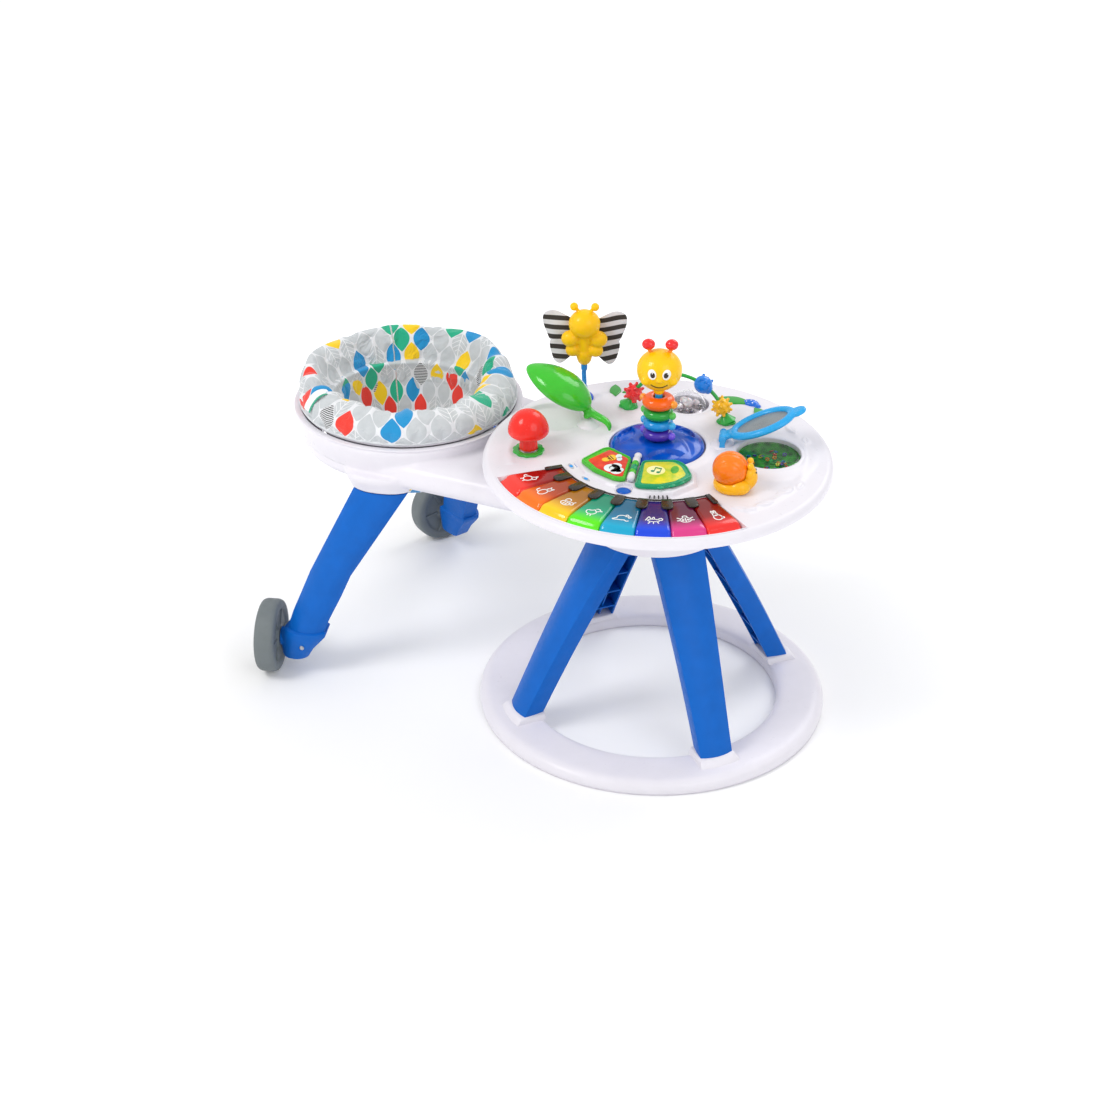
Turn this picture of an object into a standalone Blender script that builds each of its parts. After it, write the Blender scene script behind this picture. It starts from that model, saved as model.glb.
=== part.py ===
"""Activity table with a walk-around seat, built as separate pieces for Blender 4.5.

Run with:  blender --background --python part.py   (or from Blender's text editor)

Units are metres, +Z up. World origin: middle of the whole object's footprint, on the floor.
+X points from the seat to the table. Nearly every place below is given in the table frame,
whose origin is the table's vertical axis at floor level (the empty "table_axis").
"""

from math import atan2, cos, hypot, pi, radians, sin

import bmesh
import bpy
from mathutils import Matrix, Vector

# ------------------------------------------------------------------ driving dimensions
GAP = 0.0003  # clearance left between pieces that touch
WALL = 0.003  # moulded wall thickness

BASE_OUTER_R = 0.300
BASE_INNER_R = 0.218
BASE_TOP_Z = 0.024
TABLE_R = 0.289
TABLE_TOP_Z = 0.475
TABLE_SKIRT_Z = 0.4590
UNDERSIDE_Z = 0.4278

LEG_COUNT = 4
LEG_FIRST_ANGLE = radians(-35.7)
LEG_FOOT_R = 0.258
LEG_HEAD_R = 0.0905
LEG_HEAD_Z = 0.345
LEG_FOOT_HALF_WIDTH = 0.0285
LEG_HEAD_HALF_WIDTH = 0.045
LEG_DEPTH = 0.037
LEG_WALL = 0.0035

NECK_R = 0.0755
NECK_BOTTOM_Z = 0.3915
COLLAR_BORE_R = 0.0765
COLLAR_R = 0.125
ARM_BOTTOM_Z = 0.372
ARM_TOP_Z = 0.4245
ARM_WALL = 0.004
COLLAR_BOTTOM_Z = 0.3918
ARM_STEP_R = 0.150  # inside this radius the arm is shallower, to pass over the legs

SEAT_X = -0.497
SEAT_TURN = radians(-45)  # which way the swivelling seat faces, from the table
SEAT_RING_R = 0.200
SEAT_RING_BORE_R = 0.155
SEAT_RING_TOP_Z = 0.448
SWIVEL_R = 0.150
BUCKET_R = 0.1375
BUCKET_BOTTOM_Z = 0.290
SOCKET_R = 0.170
SOCKET_ANGLE = radians(72)  # from +X, seen from the seat centre, either side
SOCKET_BOTTOM_Z = 0.361
LEG_BOOT_TOP_Z = 0.090

WHEEL_R = 0.065
WHEEL_WIDTH = 0.036
WHEEL_ORBIT_R = 0.678
WHEEL_ANGLE = radians(23.8)  # either side of the seat's direction, seen from the table axis
AXLE_R = 0.004

TABLE_X = (-SEAT_X + SEAT_RING_R - BASE_OUTER_R) / 2  # centres the footprint on the origin

KEY_COUNT = 8
KEY_START = radians(-131.2)
KEY_END = radians(-31.8)
KEY_INNER_R = 0.166
KEY_OUTER_R = 0.2735
KEY_LIP_R = 0.260
KEY_TOP_Z = 0.4795
KEY_BOTTOM_Z = 0.4655
KEY_LIP_Z = 0.4705
KEY_SPACE = 0.0012
KEY_POCKET_MARGIN = 0.0025
KEY_POCKET_DEPTH = 0.0145
SHARP_R = 0.190
SHARP_THICKNESS = 0.0016

DISH_CENTRE = Vector((-0.014, 0.024))
DISH_R = 0.078
DISH_RECESS = 0.005
POST_R = 0.0065
POST_TOP_Z = 0.5795

WINDOW_CENTRE = Vector((0.161, 0.084))
WINDOW_R = 0.052
WINDOW_DEPTH = 0.014
DOME_CENTRE = Vector((-0.041, 0.180))
DOME_R = 0.036
DOME_RISE = 0.026
DOME_RECESS = 0.008
LEAF_BOWL_CENTRE = Vector((-0.213, 0.018))
LEAF_BOWL_R = 0.045
LEAF_BOWL_DEPTH = 0.007
BUTTON_CENTRE = Vector((0.0165, -0.1425))
BUTTON_R = 0.0115

ROD_RED_END = Vector((-0.126, 0.126))
ROD_YELLOW_END = Vector((0.044, 0.160))
ROD_RISE = 0.075
ROD_R = 0.0032
BALL_R = 0.0165

SPINE_START = Vector((-0.0115, -0.046))
SPINE_DIRECTION = Vector((0.352, -0.936)).normalized()
PAGE_TOP_Z = 0.4905
PAGE_THICKNESS = 0.006
SPINE_R = 0.0055

# ------------------------------------------------------------------ materials
COLOURS = {  # name: (red, green, blue, alpha), roughness, metallic
    "white_plastic": ((0.86, 0.85, 0.88, 1), 0.35, 0),
    "blue_plastic": ((0.0, 0.12, 0.62, 1), 0.4, 0),
    "wheel_grey": ((0.18, 0.20, 0.21, 1), 0.6, 0),
    "steel": ((0.6, 0.6, 0.62, 1), 0.3, 1),
    "dark_plastic": ((0.03, 0.03, 0.035, 1), 0.5, 0),
    "fabric": ((0.62, 0.64, 0.66, 1), 0.9, 0),
    "red": ((0.75, 0.03, 0.02, 1), 0.35, 0),
    "orange": ((0.95, 0.21, 0.0, 1), 0.35, 0),
    "yellow": ((0.93, 0.55, 0.0, 1), 0.35, 0),
    "green": ((0.05, 0.50, 0.04, 1), 0.35, 0),
    "teal": ((0.0, 0.28, 0.15, 1), 0.35, 0),
    "sky": ((0.01, 0.42, 0.78, 1), 0.3, 0),
    "blue": ((0.0, 0.04, 0.60, 1), 0.3, 0),
    "purple": ((0.08, 0.02, 0.36, 1), 0.3, 0),
    "magenta": ((0.36, 0.02, 0.16, 1), 0.3, 0),
    "black": ((0.02, 0.015, 0.012, 1), 0.3, 0),
    "stripes": ((0.45, 0.45, 0.47, 1), 0.85, 0),
    "clear": ((0.9, 0.9, 0.9, 0.3), 0.08, 0),
    "mesh_grey": ((0.35, 0.36, 0.37, 1), 0.5, 0),
    "pearl": ((0.85, 0.62, 0.55, 1), 0.2, 0),
}
KEY_COLOURS = ["red", "orange", "yellow", "green", "sky", "blue", "magenta", "red"]


def material(name):
    """The named Principled material, made the first time it is asked for."""
    found = bpy.data.materials.get(name)
    if found:
        return found
    colour, roughness, metallic = COLOURS[name]
    made = bpy.data.materials.new(name)
    made.use_nodes = True
    shader = made.node_tree.nodes["Principled BSDF"]
    shader.inputs["Base Color"].default_value = colour
    shader.inputs["Alpha"].default_value = colour[3]
    shader.inputs["Roughness"].default_value = roughness
    shader.inputs["Metallic"].default_value = metallic
    made.diffuse_color = colour
    return made


# ------------------------------------------------------------------ scene helpers
def clear_scene():
    for old in list(bpy.data.objects):
        bpy.data.objects.remove(old, do_unlink=True)


def pivot(name, location, parent=None, rotation=(0, 0, 0)):
    """An empty on a joint's axis, or a frame that fixed pieces are placed in."""
    empty = bpy.data.objects.new(name, None)
    empty.empty_display_size = 0.02
    empty.location = location
    empty.rotation_euler = rotation
    empty.parent = parent
    bpy.context.scene.collection.objects.link(empty)
    return empty


def piece(name, bm, material_name, parent, smooth=True):
    """Turns a bmesh into a named object with its material, in its parent's frame."""
    bmesh.ops.recalc_face_normals(bm, faces=bm.faces)
    mesh = bpy.data.meshes.new(name)
    bm.to_mesh(mesh)
    bm.free()
    if smooth:
        mesh.shade_smooth()
        mesh.set_sharp_from_angle(angle=radians(35))
    mesh.materials.append(material(material_name))
    made = bpy.data.objects.new(name, mesh)
    made.parent = parent
    bpy.context.scene.collection.objects.link(made)
    return made


def boolean(target, bm, operation, parent=None):
    """Cuts a helper solid from the target, or joins it on. The helper isn't part of the object."""
    helper = piece(f"{target.name}_{operation.lower()}_{len(target.modifiers)}", bm, "white_plastic",
                   parent or target.parent)
    helper.hide_render = True
    helper.display_type = "WIRE"
    modifier = target.modifiers.new(helper.name, "BOOLEAN")
    modifier.operation = operation
    modifier.object = helper
    return target


def cut(target, bm, parent=None):
    return boolean(target, bm, "DIFFERENCE", parent)


def join(target, bm, parent=None):
    return boolean(target, bm, "UNION", parent)


# ------------------------------------------------------------------ shape helpers
def turned(profile, steps=32, centre=(0, 0), closed=True):
    """A profile of (radius, height) points spun about a vertical axis through centre."""
    bm = bmesh.new()
    cx, cy = centre
    verts = [bm.verts.new((cx + r, cy, z)) for r, z in profile]
    pairs = list(zip(verts, verts[1:])) + ([(verts[-1], verts[0])] if closed else [])
    edges = [bm.edges.new(p) for p in pairs]
    bmesh.ops.spin(bm, geom=verts + edges, cent=(cx, cy, 0), axis=(0, 0, 1), angle=2 * pi, steps=steps,
                   use_merge=True)
    bmesh.ops.remove_doubles(bm, verts=bm.verts, dist=1e-6)
    return bm


def offset_path(path, distance):
    """The path moved sideways by distance, to the left of its direction, with mitred corners."""
    moved = []
    for i, point in enumerate(path):
        before = Vector(path[max(i - 1, 0)])
        after = Vector(path[min(i + 1, len(path) - 1)])
        here = Vector(point)
        first = (here - before).normalized() if i else (after - here).normalized()
        second = (after - here).normalized() if i < len(path) - 1 else first
        normal = Vector((-first.y - second.y, first.x + second.x)).normalized()
        stretch = 1 / max(0.5, normal.dot(Vector((-first.y, first.x))))
        moved.append(tuple(here + normal * distance * stretch))
    return moved


def skin(path, thickness=WALL):
    """A closed profile: the path, and back along the path moved to its left by the thickness."""
    return list(path) + list(reversed(offset_path(path, thickness)))


def prism(outline, low, high):
    """A flat outline of (x, y) points, extruded from low to high."""
    bm = bmesh.new()
    face = bm.faces.new([bm.verts.new((x, y, low)) for x, y in outline])
    made = bmesh.ops.extrude_face_region(bm, geom=[face])
    top = [v for v in made["geom"] if isinstance(v, bmesh.types.BMVert)]
    bmesh.ops.translate(bm, verts=top, vec=(0, 0, high - low))
    return bm


def loft(sections):
    """Closed loops of equal length, joined in turn and capped at both ends."""
    bm = bmesh.new()
    loops = [[bm.verts.new(p) for p in section] for section in sections]
    for lower, upper in zip(loops, loops[1:]):
        count = len(lower)
        for i in range(count):
            j = (i + 1) % count
            bm.faces.new((lower[i], lower[j], upper[j], upper[i]))
    bm.faces.new(reversed(loops[0]))
    bm.faces.new(loops[-1])
    return bm


def cylinder(radius, low, high, centre=(0, 0), steps=24):
    return turned([(0, low), (radius, low), (radius, high), (0, high)], steps, centre, closed=False)


def ball(radius, centre, segments=16, rings=10, squash=(1, 1, 1)):
    bm = bmesh.new()
    scale = Matrix.Diagonal((*squash, 1))
    bmesh.ops.create_uvsphere(bm, u_segments=segments, v_segments=rings, radius=radius,
                              matrix=Matrix.Translation(centre) @ scale)
    return bm


def along(bm, axis):
    """Turns a shape made along +Z so that its axis points along the given direction."""
    turn = Vector((0, 0, 1)).rotation_difference(Vector(axis)).to_matrix()
    bmesh.ops.rotate(bm, verts=bm.verts, cent=(0, 0, 0), matrix=turn)
    return bm


def moved(bm, offset):
    bmesh.ops.translate(bm, verts=bm.verts, vec=offset)
    return bm


def arc(centre, radius, start, end, steps):
    cx, cy = centre
    turns = [start + (end - start) * i / steps for i in range(steps + 1)]
    return [(cx + radius * cos(t), cy + radius * sin(t)) for t in turns]


def circle(centre, radius, steps):
    return arc(centre, radius, 0, 2 * pi, steps)[:-1]


def sector(inner, outer, start, end, steps):
    return arc((0, 0), inner, start, end, steps) + arc((0, 0), outer, end, start, steps)


def ellipse(length, width, steps):
    return [(length * cos(2 * pi * i / steps), width * sin(2 * pi * i / steps)) for i in range(steps)]


def tangent_outline(first, first_r, second, second_r, steps=20):
    """The outline of a belt round two circles on the X axis, the first to the left."""
    spread = second - first
    lean = pi / 2 + atan2(second_r - first_r, hypot(spread, second_r - first_r))
    left = arc((first, 0), first_r, lean, 2 * pi - lean, steps)
    right = arc((second, 0), second_r, -lean, lean, steps)
    return left + right


# ------------------------------------------------------------------ base and legs
def channel_section(frame_angle, outer_r, half_width, depth, height, wall):
    """A horizontal cut through a leg: a U with a bowed outer face, open towards the table axis."""
    bow = half_width * 0.22
    steps = 6
    outer, inner = [(-half_width, outer_r - depth)], [(-half_width + wall, outer_r - depth)]
    for i in range(steps + 1):
        s = 2 * i / steps - 1
        outer.append((half_width * s, outer_r - bow * s * s))
        inner.append(((half_width - wall) * s, outer_r - wall * 1.15 - bow * s * s))
    outer.append((half_width, outer_r - depth))
    inner.append((half_width - wall, outer_r - depth))
    points = []
    for across, out in outer + list(reversed(inner)):
        x = out * cos(frame_angle) - across * sin(frame_angle)
        y = out * sin(frame_angle) + across * cos(frame_angle)
        points.append((x, y, height))
    return points


def base_and_legs(table):
    ring = [(BASE_INNER_R, 0), (BASE_OUTER_R - 0.002, 0), (BASE_OUTER_R, 0.004), (BASE_OUTER_R, 0.010),
            (0.296, 0.0185), (0.287, BASE_TOP_Z), (0.226, BASE_TOP_Z), (BASE_INNER_R, 0.018)]
    piece("base_ring", turned(ring, 48), "white_plastic", table)
    for i in range(LEG_COUNT):
        angle = LEG_FIRST_ANGLE + i * 2 * pi / LEG_COUNT
        foot = channel_section(angle, LEG_FOOT_R, LEG_FOOT_HALF_WIDTH, LEG_DEPTH, BASE_TOP_Z + GAP, LEG_WALL)
        head = channel_section(angle, LEG_HEAD_R, LEG_HEAD_HALF_WIDTH, LEG_DEPTH, LEG_HEAD_Z, LEG_WALL)
        piece(f"table_leg_{i + 1}", loft([foot, head]), "blue_plastic", table)
    spool = [(0.020, LEG_HEAD_Z + GAP), (0.118, LEG_HEAD_Z + GAP), (0.118, 0.368), (0.100, NECK_BOTTOM_Z),
             (NECK_R, NECK_BOTTOM_Z), (NECK_R, UNDERSIDE_Z - GAP), (NECK_R - 0.005, UNDERSIDE_Z - GAP),
             (NECK_R - 0.005, 0.3870), (0.0965, 0.3862), (0.1135, 0.366), (0.1135, 0.3495), (0.020, 0.3495)]
    piece("leg_hub", turned(spool, 32), "white_plastic", table)


# ------------------------------------------------------------------ table shells
def shell_with_pockets(rim, edge_r, top_z, pockets, thickness):
    """A thin cap: a flat disc with pockets pressed down (or plinths up) and a turned rim."""
    bm = bmesh.new()
    steps = 56
    loops = []
    outer = [bm.verts.new((x, y, top_z)) for x, y in circle((0, 0), edge_r, steps)]
    loops.append(outer)
    for outline, _ in pockets:
        loops.append([bm.verts.new((x, y, top_z)) for x, y in outline])
    edges = []
    for loop in loops:
        edges += [bm.edges.new((a, b)) for a, b in zip(loop, loop[1:] + loop[:1])]
    bmesh.ops.triangle_fill(bm, use_beauty=True, use_dissolve=False, edges=edges, normal=(0, 0, 1))
    for loop, (_, depth) in zip(loops[1:], pockets):
        floor = [bm.verts.new((v.co.x, v.co.y, top_z - depth)) for v in loop]
        for i in range(len(loop)):
            j = (i + 1) % len(loop)
            bm.faces.new((loop[i], loop[j], floor[j], floor[i]))
        bm.faces.new(floor)
    ring = outer
    for r, z in rim:
        lower = [bm.verts.new((v.co.x * r / hypot(v.co.x, v.co.y), v.co.y * r / hypot(v.co.x, v.co.y), z))
                 for v in outer]
        for i in range(steps):
            j = (i + 1) % steps
            bm.faces.new((ring[i], ring[j], lower[j], lower[i]))
        ring = lower
    return bm


def solidified(target, thickness):
    modifier = target.modifiers.new("wall", "SOLIDIFY")
    modifier.thickness = thickness
    modifier.offset = -1
    modifier.use_even_offset = True
    return target


def spine_point(along_spine, across):
    """A point in the book's own frame: distance along the spine, and to its right."""
    right = Vector((-SPINE_DIRECTION.y, SPINE_DIRECTION.x))
    return SPINE_START + SPINE_DIRECTION * along_spine + right * across


def table_shells(table):
    margin = KEY_POCKET_MARGIN
    side = margin / KEY_INNER_R
    key_bed = sector(KEY_INNER_R - margin, KEY_OUTER_R + margin - 0.0005, KEY_START - side, KEY_END + side, 24)
    pockets = [
        (key_bed, KEY_POCKET_DEPTH),
        (circle(DISH_CENTRE, DISH_R + 0.0025, 32), DISH_RECESS),
        (circle(WINDOW_CENTRE, WINDOW_R + 0.001, 28), WINDOW_DEPTH),
        (circle(DOME_CENTRE, DOME_R + 0.001, 20), DOME_RECESS),
        (circle(LEAF_BOWL_CENTRE, LEAF_BOWL_R, 20), LEAF_BOWL_DEPTH),
        (circle(BUTTON_CENTRE, BUTTON_R + 0.0007, 16), 0.0045),
    ]
    rim = [(0.2800, TABLE_TOP_Z - 0.0006), (0.2858, TABLE_TOP_Z - 0.0038), (TABLE_R, TABLE_TOP_Z - 0.0095),
           (TABLE_R - 0.0003, TABLE_SKIRT_Z)]
    top = piece("table_top", shell_with_pockets(rim, 0.2775, TABLE_TOP_Z, pockets, WALL), "white_plastic", table)
    solidified(top, WALL)
    lower = [(0.030, UNDERSIDE_Z), (0.200, UNDERSIDE_Z), (0.262, 0.4335), (0.2845, TABLE_SKIRT_Z - GAP)]
    piece("table_underside", turned(skin(lower), 44), "white_plastic", table)
    body = prism([(-0.075, -0.125), (0.085, -0.125), (0.085, -0.055), (-0.075, -0.055)], 0.4315, 0.4575)
    piece("sound_module", body, "dark_plastic", table, smooth=False)


# ------------------------------------------------------------------ walk-around seat arm
def seat_frame(arm):
    """The white arm: the seat's hoop, the hollow beam to the table, and the collar that turns on the neck."""
    edge = SEAT_RING_R - 0.011
    frame = piece("seat_frame", prism(tangent_outline(SEAT_X, edge, 0, COLLAR_R), ARM_BOTTOM_Z, ARM_TOP_Z),
                  "white_plastic", arm)
    inside = tangent_outline(SEAT_X, edge - ARM_WALL, 0, COLLAR_R - ARM_WALL)
    cut(frame, prism(inside, ARM_BOTTOM_Z - 0.02, ARM_TOP_Z - ARM_WALL))
    cut(frame, cylinder(ARM_STEP_R, ARM_BOTTOM_Z - 0.03, COLLAR_BOTTOM_Z, steps=40))
    outer = [(0.168, ARM_BOTTOM_Z + 0.0015), (0.184, 0.3925), (0.195, 0.4205), (SEAT_RING_R, 0.438),
             (SEAT_RING_R, 0.444), (SEAT_RING_R - 0.003, SEAT_RING_TOP_Z)]
    middle = [(r - ARM_WALL / 2, z) for r, z in outer]
    core = [(0, 0.30), (middle[0][0] - 0.008, 0.30)] + middle + [(0, 0.46)]
    cut(frame, turned(core, 40, (SEAT_X, 0), closed=False))
    bore = [(SEAT_RING_BORE_R, SEAT_RING_TOP_Z), (SEAT_RING_BORE_R, ARM_BOTTOM_Z + 0.0015)]
    join(frame, turned(skin(outer + bore, ARM_WALL), 40, (SEAT_X, 0)))
    collar = [(COLLAR_BORE_R - 0.001, COLLAR_BOTTOM_Z + 0.0005), (COLLAR_BORE_R + 0.0045, COLLAR_BOTTOM_Z + 0.0005),
              (COLLAR_BORE_R + 0.0045, ARM_TOP_Z - 0.001), (COLLAR_BORE_R - 0.001, ARM_TOP_Z - 0.001)]
    join(frame, turned(collar, 40))
    cut(frame, cylinder(COLLAR_BORE_R, 0.30, 0.50, steps=48))
    return frame


def seat_leg_section(side, left, right, out, depth, height):
    """A level cut through a seat leg: a D shape whose bowed side faces away from the seat.

    Left, right and out are measured from the middle of the wheel's inner face.
    """
    outward = Vector((cos(SOCKET_ANGLE), side * sin(SOCKET_ANGLE)))
    across = Vector((outward.y, -outward.x)) * side
    wheel = Vector((-cos(WHEEL_ANGLE), side * sin(WHEEL_ANGLE))) * (WHEEL_ORBIT_R - WHEEL_WIDTH / 2)
    points = []
    steps = 8
    for i in range(steps + 1):
        s = 2 * i / steps - 1
        swell = 1 - abs(s) ** 2.6
        place = left + (right - left) * i / steps
        points.append(wheel + across * place + outward * (out + depth * (0.2 + 0.3 * swell)))
    for i in range(5):
        place = right + (left - right) * (0.04 + 0.92 * i / 4)
        points.append(wheel + across * place + outward * (out - depth * 0.5))
    return [(p.x, p.y, height) for p in points]


def leg_head(side, height, grow=0.0):
    """The level cut at the socket, grown by a margin on every side."""
    outward = Vector((cos(SOCKET_ANGLE), side * sin(SOCKET_ANGLE)))
    across = Vector((outward.y, -outward.x)) * side
    wheel = Vector((-cos(WHEEL_ANGLE), side * sin(WHEEL_ANGLE))) * (WHEEL_ORBIT_R - WHEEL_WIDTH / 2)
    place = Vector((SEAT_X, 0)) + outward * SOCKET_R - wheel
    middle, out = place.dot(across), place.dot(outward)
    return seat_leg_section(side, middle - 0.048 - grow, middle + 0.048 + grow, out, 0.050 + 2 * grow, height)


def seat_arm(table):
    arm = pivot("walk_around_axis", (0, 0, 0), table)
    frame = seat_frame(arm)
    for side, name in ((-1, "right"), (1, "left")):
        join(frame, loft([leg_head(side, SOCKET_BOTTOM_Z, 0.0030), leg_head(side, 0.4005, 0.0030)]))
        leg_and_wheel(arm, side, name)


def leg_and_wheel(arm, side, name):
    """One splayed leg under the hoop, its axle and its wheel. The wheel's axis points at the table."""
    sections = [
        seat_leg_section(side, 0.004, 0.050, 0.000, 0.040, 0.030),
        seat_leg_section(side, 0.0015, 0.080, 0.000, 0.050, 0.072),
        seat_leg_section(side, 0.006, 0.087, -0.002, 0.052, LEG_BOOT_TOP_Z - 0.004),
        seat_leg_section(side, 0.017, 0.083, -0.004, 0.047, LEG_BOOT_TOP_Z),
        seat_leg_section(side, 0.058, 0.132, -0.021, 0.048, 0.200),
        leg_head(side, SOCKET_BOTTOM_Z - GAP),
    ]
    leg = piece(f"seat_leg_{name}", loft(sections), "blue_plastic", arm)
    radial = Vector((-cos(WHEEL_ANGLE), side * sin(WHEEL_ANGLE)))
    hub = radial * WHEEL_ORBIT_R
    boss_end = WHEEL_ORBIT_R - WHEEL_WIDTH / 2 - 0.0010
    boss = along(cylinder(0.017, 0, 0.030, steps=18), (radial.x, radial.y, 0))
    boss_start = radial * (boss_end - 0.030)
    join(leg, moved(boss, (boss_start.x, boss_start.y, WHEEL_R)))
    bore = along(cylinder(AXLE_R + GAP, 0, 0.030, steps=16), (radial.x, radial.y, 0))
    bore_start = radial * (boss_end - 0.022)
    cut(leg, moved(bore, (bore_start.x, bore_start.y, WHEEL_R)))
    pin = along(turned([(0, 0), (AXLE_R, 0), (AXLE_R, 0.058), (0.008, 0.058), (0.008, 0.061), (0, 0.061)], 16,
                       closed=False), (radial.x, radial.y, 0))
    pin_start = radial * (boss_end - 0.0215)
    piece(f"wheel_axle_{name}", moved(pin, (pin_start.x, pin_start.y, WHEEL_R)), "steel", arm)
    spin = pivot(f"wheel_{name}_axis", (hub.x, hub.y, WHEEL_R), arm)
    half = WHEEL_WIDTH / 2
    tyre = [(AXLE_R + 0.0005, -half), (0.018, -half), (0.022, -half + 0.004), (0.046, -half + 0.004),
            (0.050, -half), (0.059, -half), (WHEEL_R, -half + 0.006), (WHEEL_R, half - 0.006), (0.059, half),
            (0.050, half), (0.046, half - 0.004), (0.012, half - 0.004), (AXLE_R + 0.0005, half - 0.004)]
    piece(f"wheel_{name}", along(turned(tyre, 26), (radial.x, radial.y, 0)), "wheel_grey", spin)


# ------------------------------------------------------------------ swivelling fabric seat
def seat(table):
    arm = bpy.data.objects["walk_around_axis"]
    swivel = pivot("seat_swivel_axis", (SEAT_X, 0, 0), arm, (0, 0, SEAT_TURN))
    low = SEAT_RING_TOP_Z + 0.0005
    ring = [(SWIVEL_R - 0.004, 0.402), (SWIVEL_R, 0.402), (SWIVEL_R, low), (0.187, low), (0.187, low + 0.004),
            (SWIVEL_R - 0.004, low + 0.004)]
    piece("swivel_ring", turned(ring, 36), "white_plastic", swivel)
    pad_z, pad_r, pad_half_r, pad_half_z = 0.4768, 0.1595, 0.0300, 0.0235
    pad = [(pad_r + pad_half_r * cos(t * pi / 5), pad_z + pad_half_z * sin(t * pi / 5)) for t in range(10)]
    piece("seat_rim_pad", turned(pad, 30), "fabric", swivel)
    wall = [(BUCKET_R, 0.4528), (BUCKET_R, 0.400), (0.125, 0.347), (0.100, 0.314), (0.060, 0.295),
            (0, BUCKET_BOTTOM_Z), (0, BUCKET_BOTTOM_Z + 0.006), (0.058, 0.3015), (0.0955, 0.3185),
            (0.1195, 0.349), (BUCKET_R - 0.006, 0.401), (BUCKET_R - 0.006, 0.4528)]
    bucket = piece("seat_bucket", turned(wall, 28), "fabric", swivel)
    for side in (-1, 1):
        opening = along(cylinder(0.045, 0.02, 0.16, steps=20), (0.75, side * 0.62, -0.30))
        cut(bucket, moved(opening, (0, side * 0.018, 0.358)))


# ------------------------------------------------------------------ piano keys
def keys(table):
    pitch = (KEY_END - KEY_START) / KEY_COUNT
    for i in range(KEY_COUNT):
        start, end = KEY_START + i * pitch, KEY_START + (i + 1) * pitch
        middle = (start + end) / 2
        hinge = Vector((cos(middle), sin(middle))) * (KEY_INNER_R + 0.002)
        axis = pivot(f"key_{i + 1}_axis", (hinge.x, hinge.y, 0.468), table)
        space = KEY_SPACE / 2 / KEY_INNER_R
        radii = [KEY_INNER_R, KEY_LIP_R, KEY_OUTER_R]
        heights = [KEY_TOP_Z, KEY_TOP_Z, KEY_LIP_Z]
        steps = 3
        sections = []
        for step in range(steps + 1):
            turn = start + space + (end - start - 2 * space) * step / steps
            way = Vector((cos(turn), sin(turn)))
            upper = [(way * r, z) for r, z in zip(radii, heights)]
            lower = [(way * radii[2], KEY_BOTTOM_Z), (way * radii[0], KEY_BOTTOM_Z)]
            sections.append([(p.x - hinge.x, p.y - hinge.y, z - 0.468) for p, z in upper + lower])
        piece(f"piano_key_{i + 1}", loft(sections), KEY_COLOURS[i], axis)
    sharps(table, pitch)


def sharps(table, pitch):
    """The fixed black bar whose lobes stand over the joins between keys."""
    inner = KEY_INNER_R - 0.0005
    outline = arc((0, 0), inner, KEY_START, KEY_END, 24)
    for i in range(KEY_COUNT, -1, -1):
        join_angle = KEY_START + i * pitch
        half = pitch * 0.26
        low = max(join_angle - half, KEY_START)
        high = min(join_angle + half, KEY_END)
        outline += [(cos(t) * r, sin(t) * r) for t, r in (
            (high, inner + 0.003), (high, SHARP_R - 0.005), ((high * 3 + low) / 4, SHARP_R),
            ((high + low * 3) / 4, SHARP_R), (low, SHARP_R - 0.005), (low, inner + 0.003))]
    low_z = KEY_TOP_Z + 0.0005
    piece("sharps_bar", prism(outline, low_z, low_z + SHARP_THICKNESS), "black", table, smooth=False)


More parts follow.
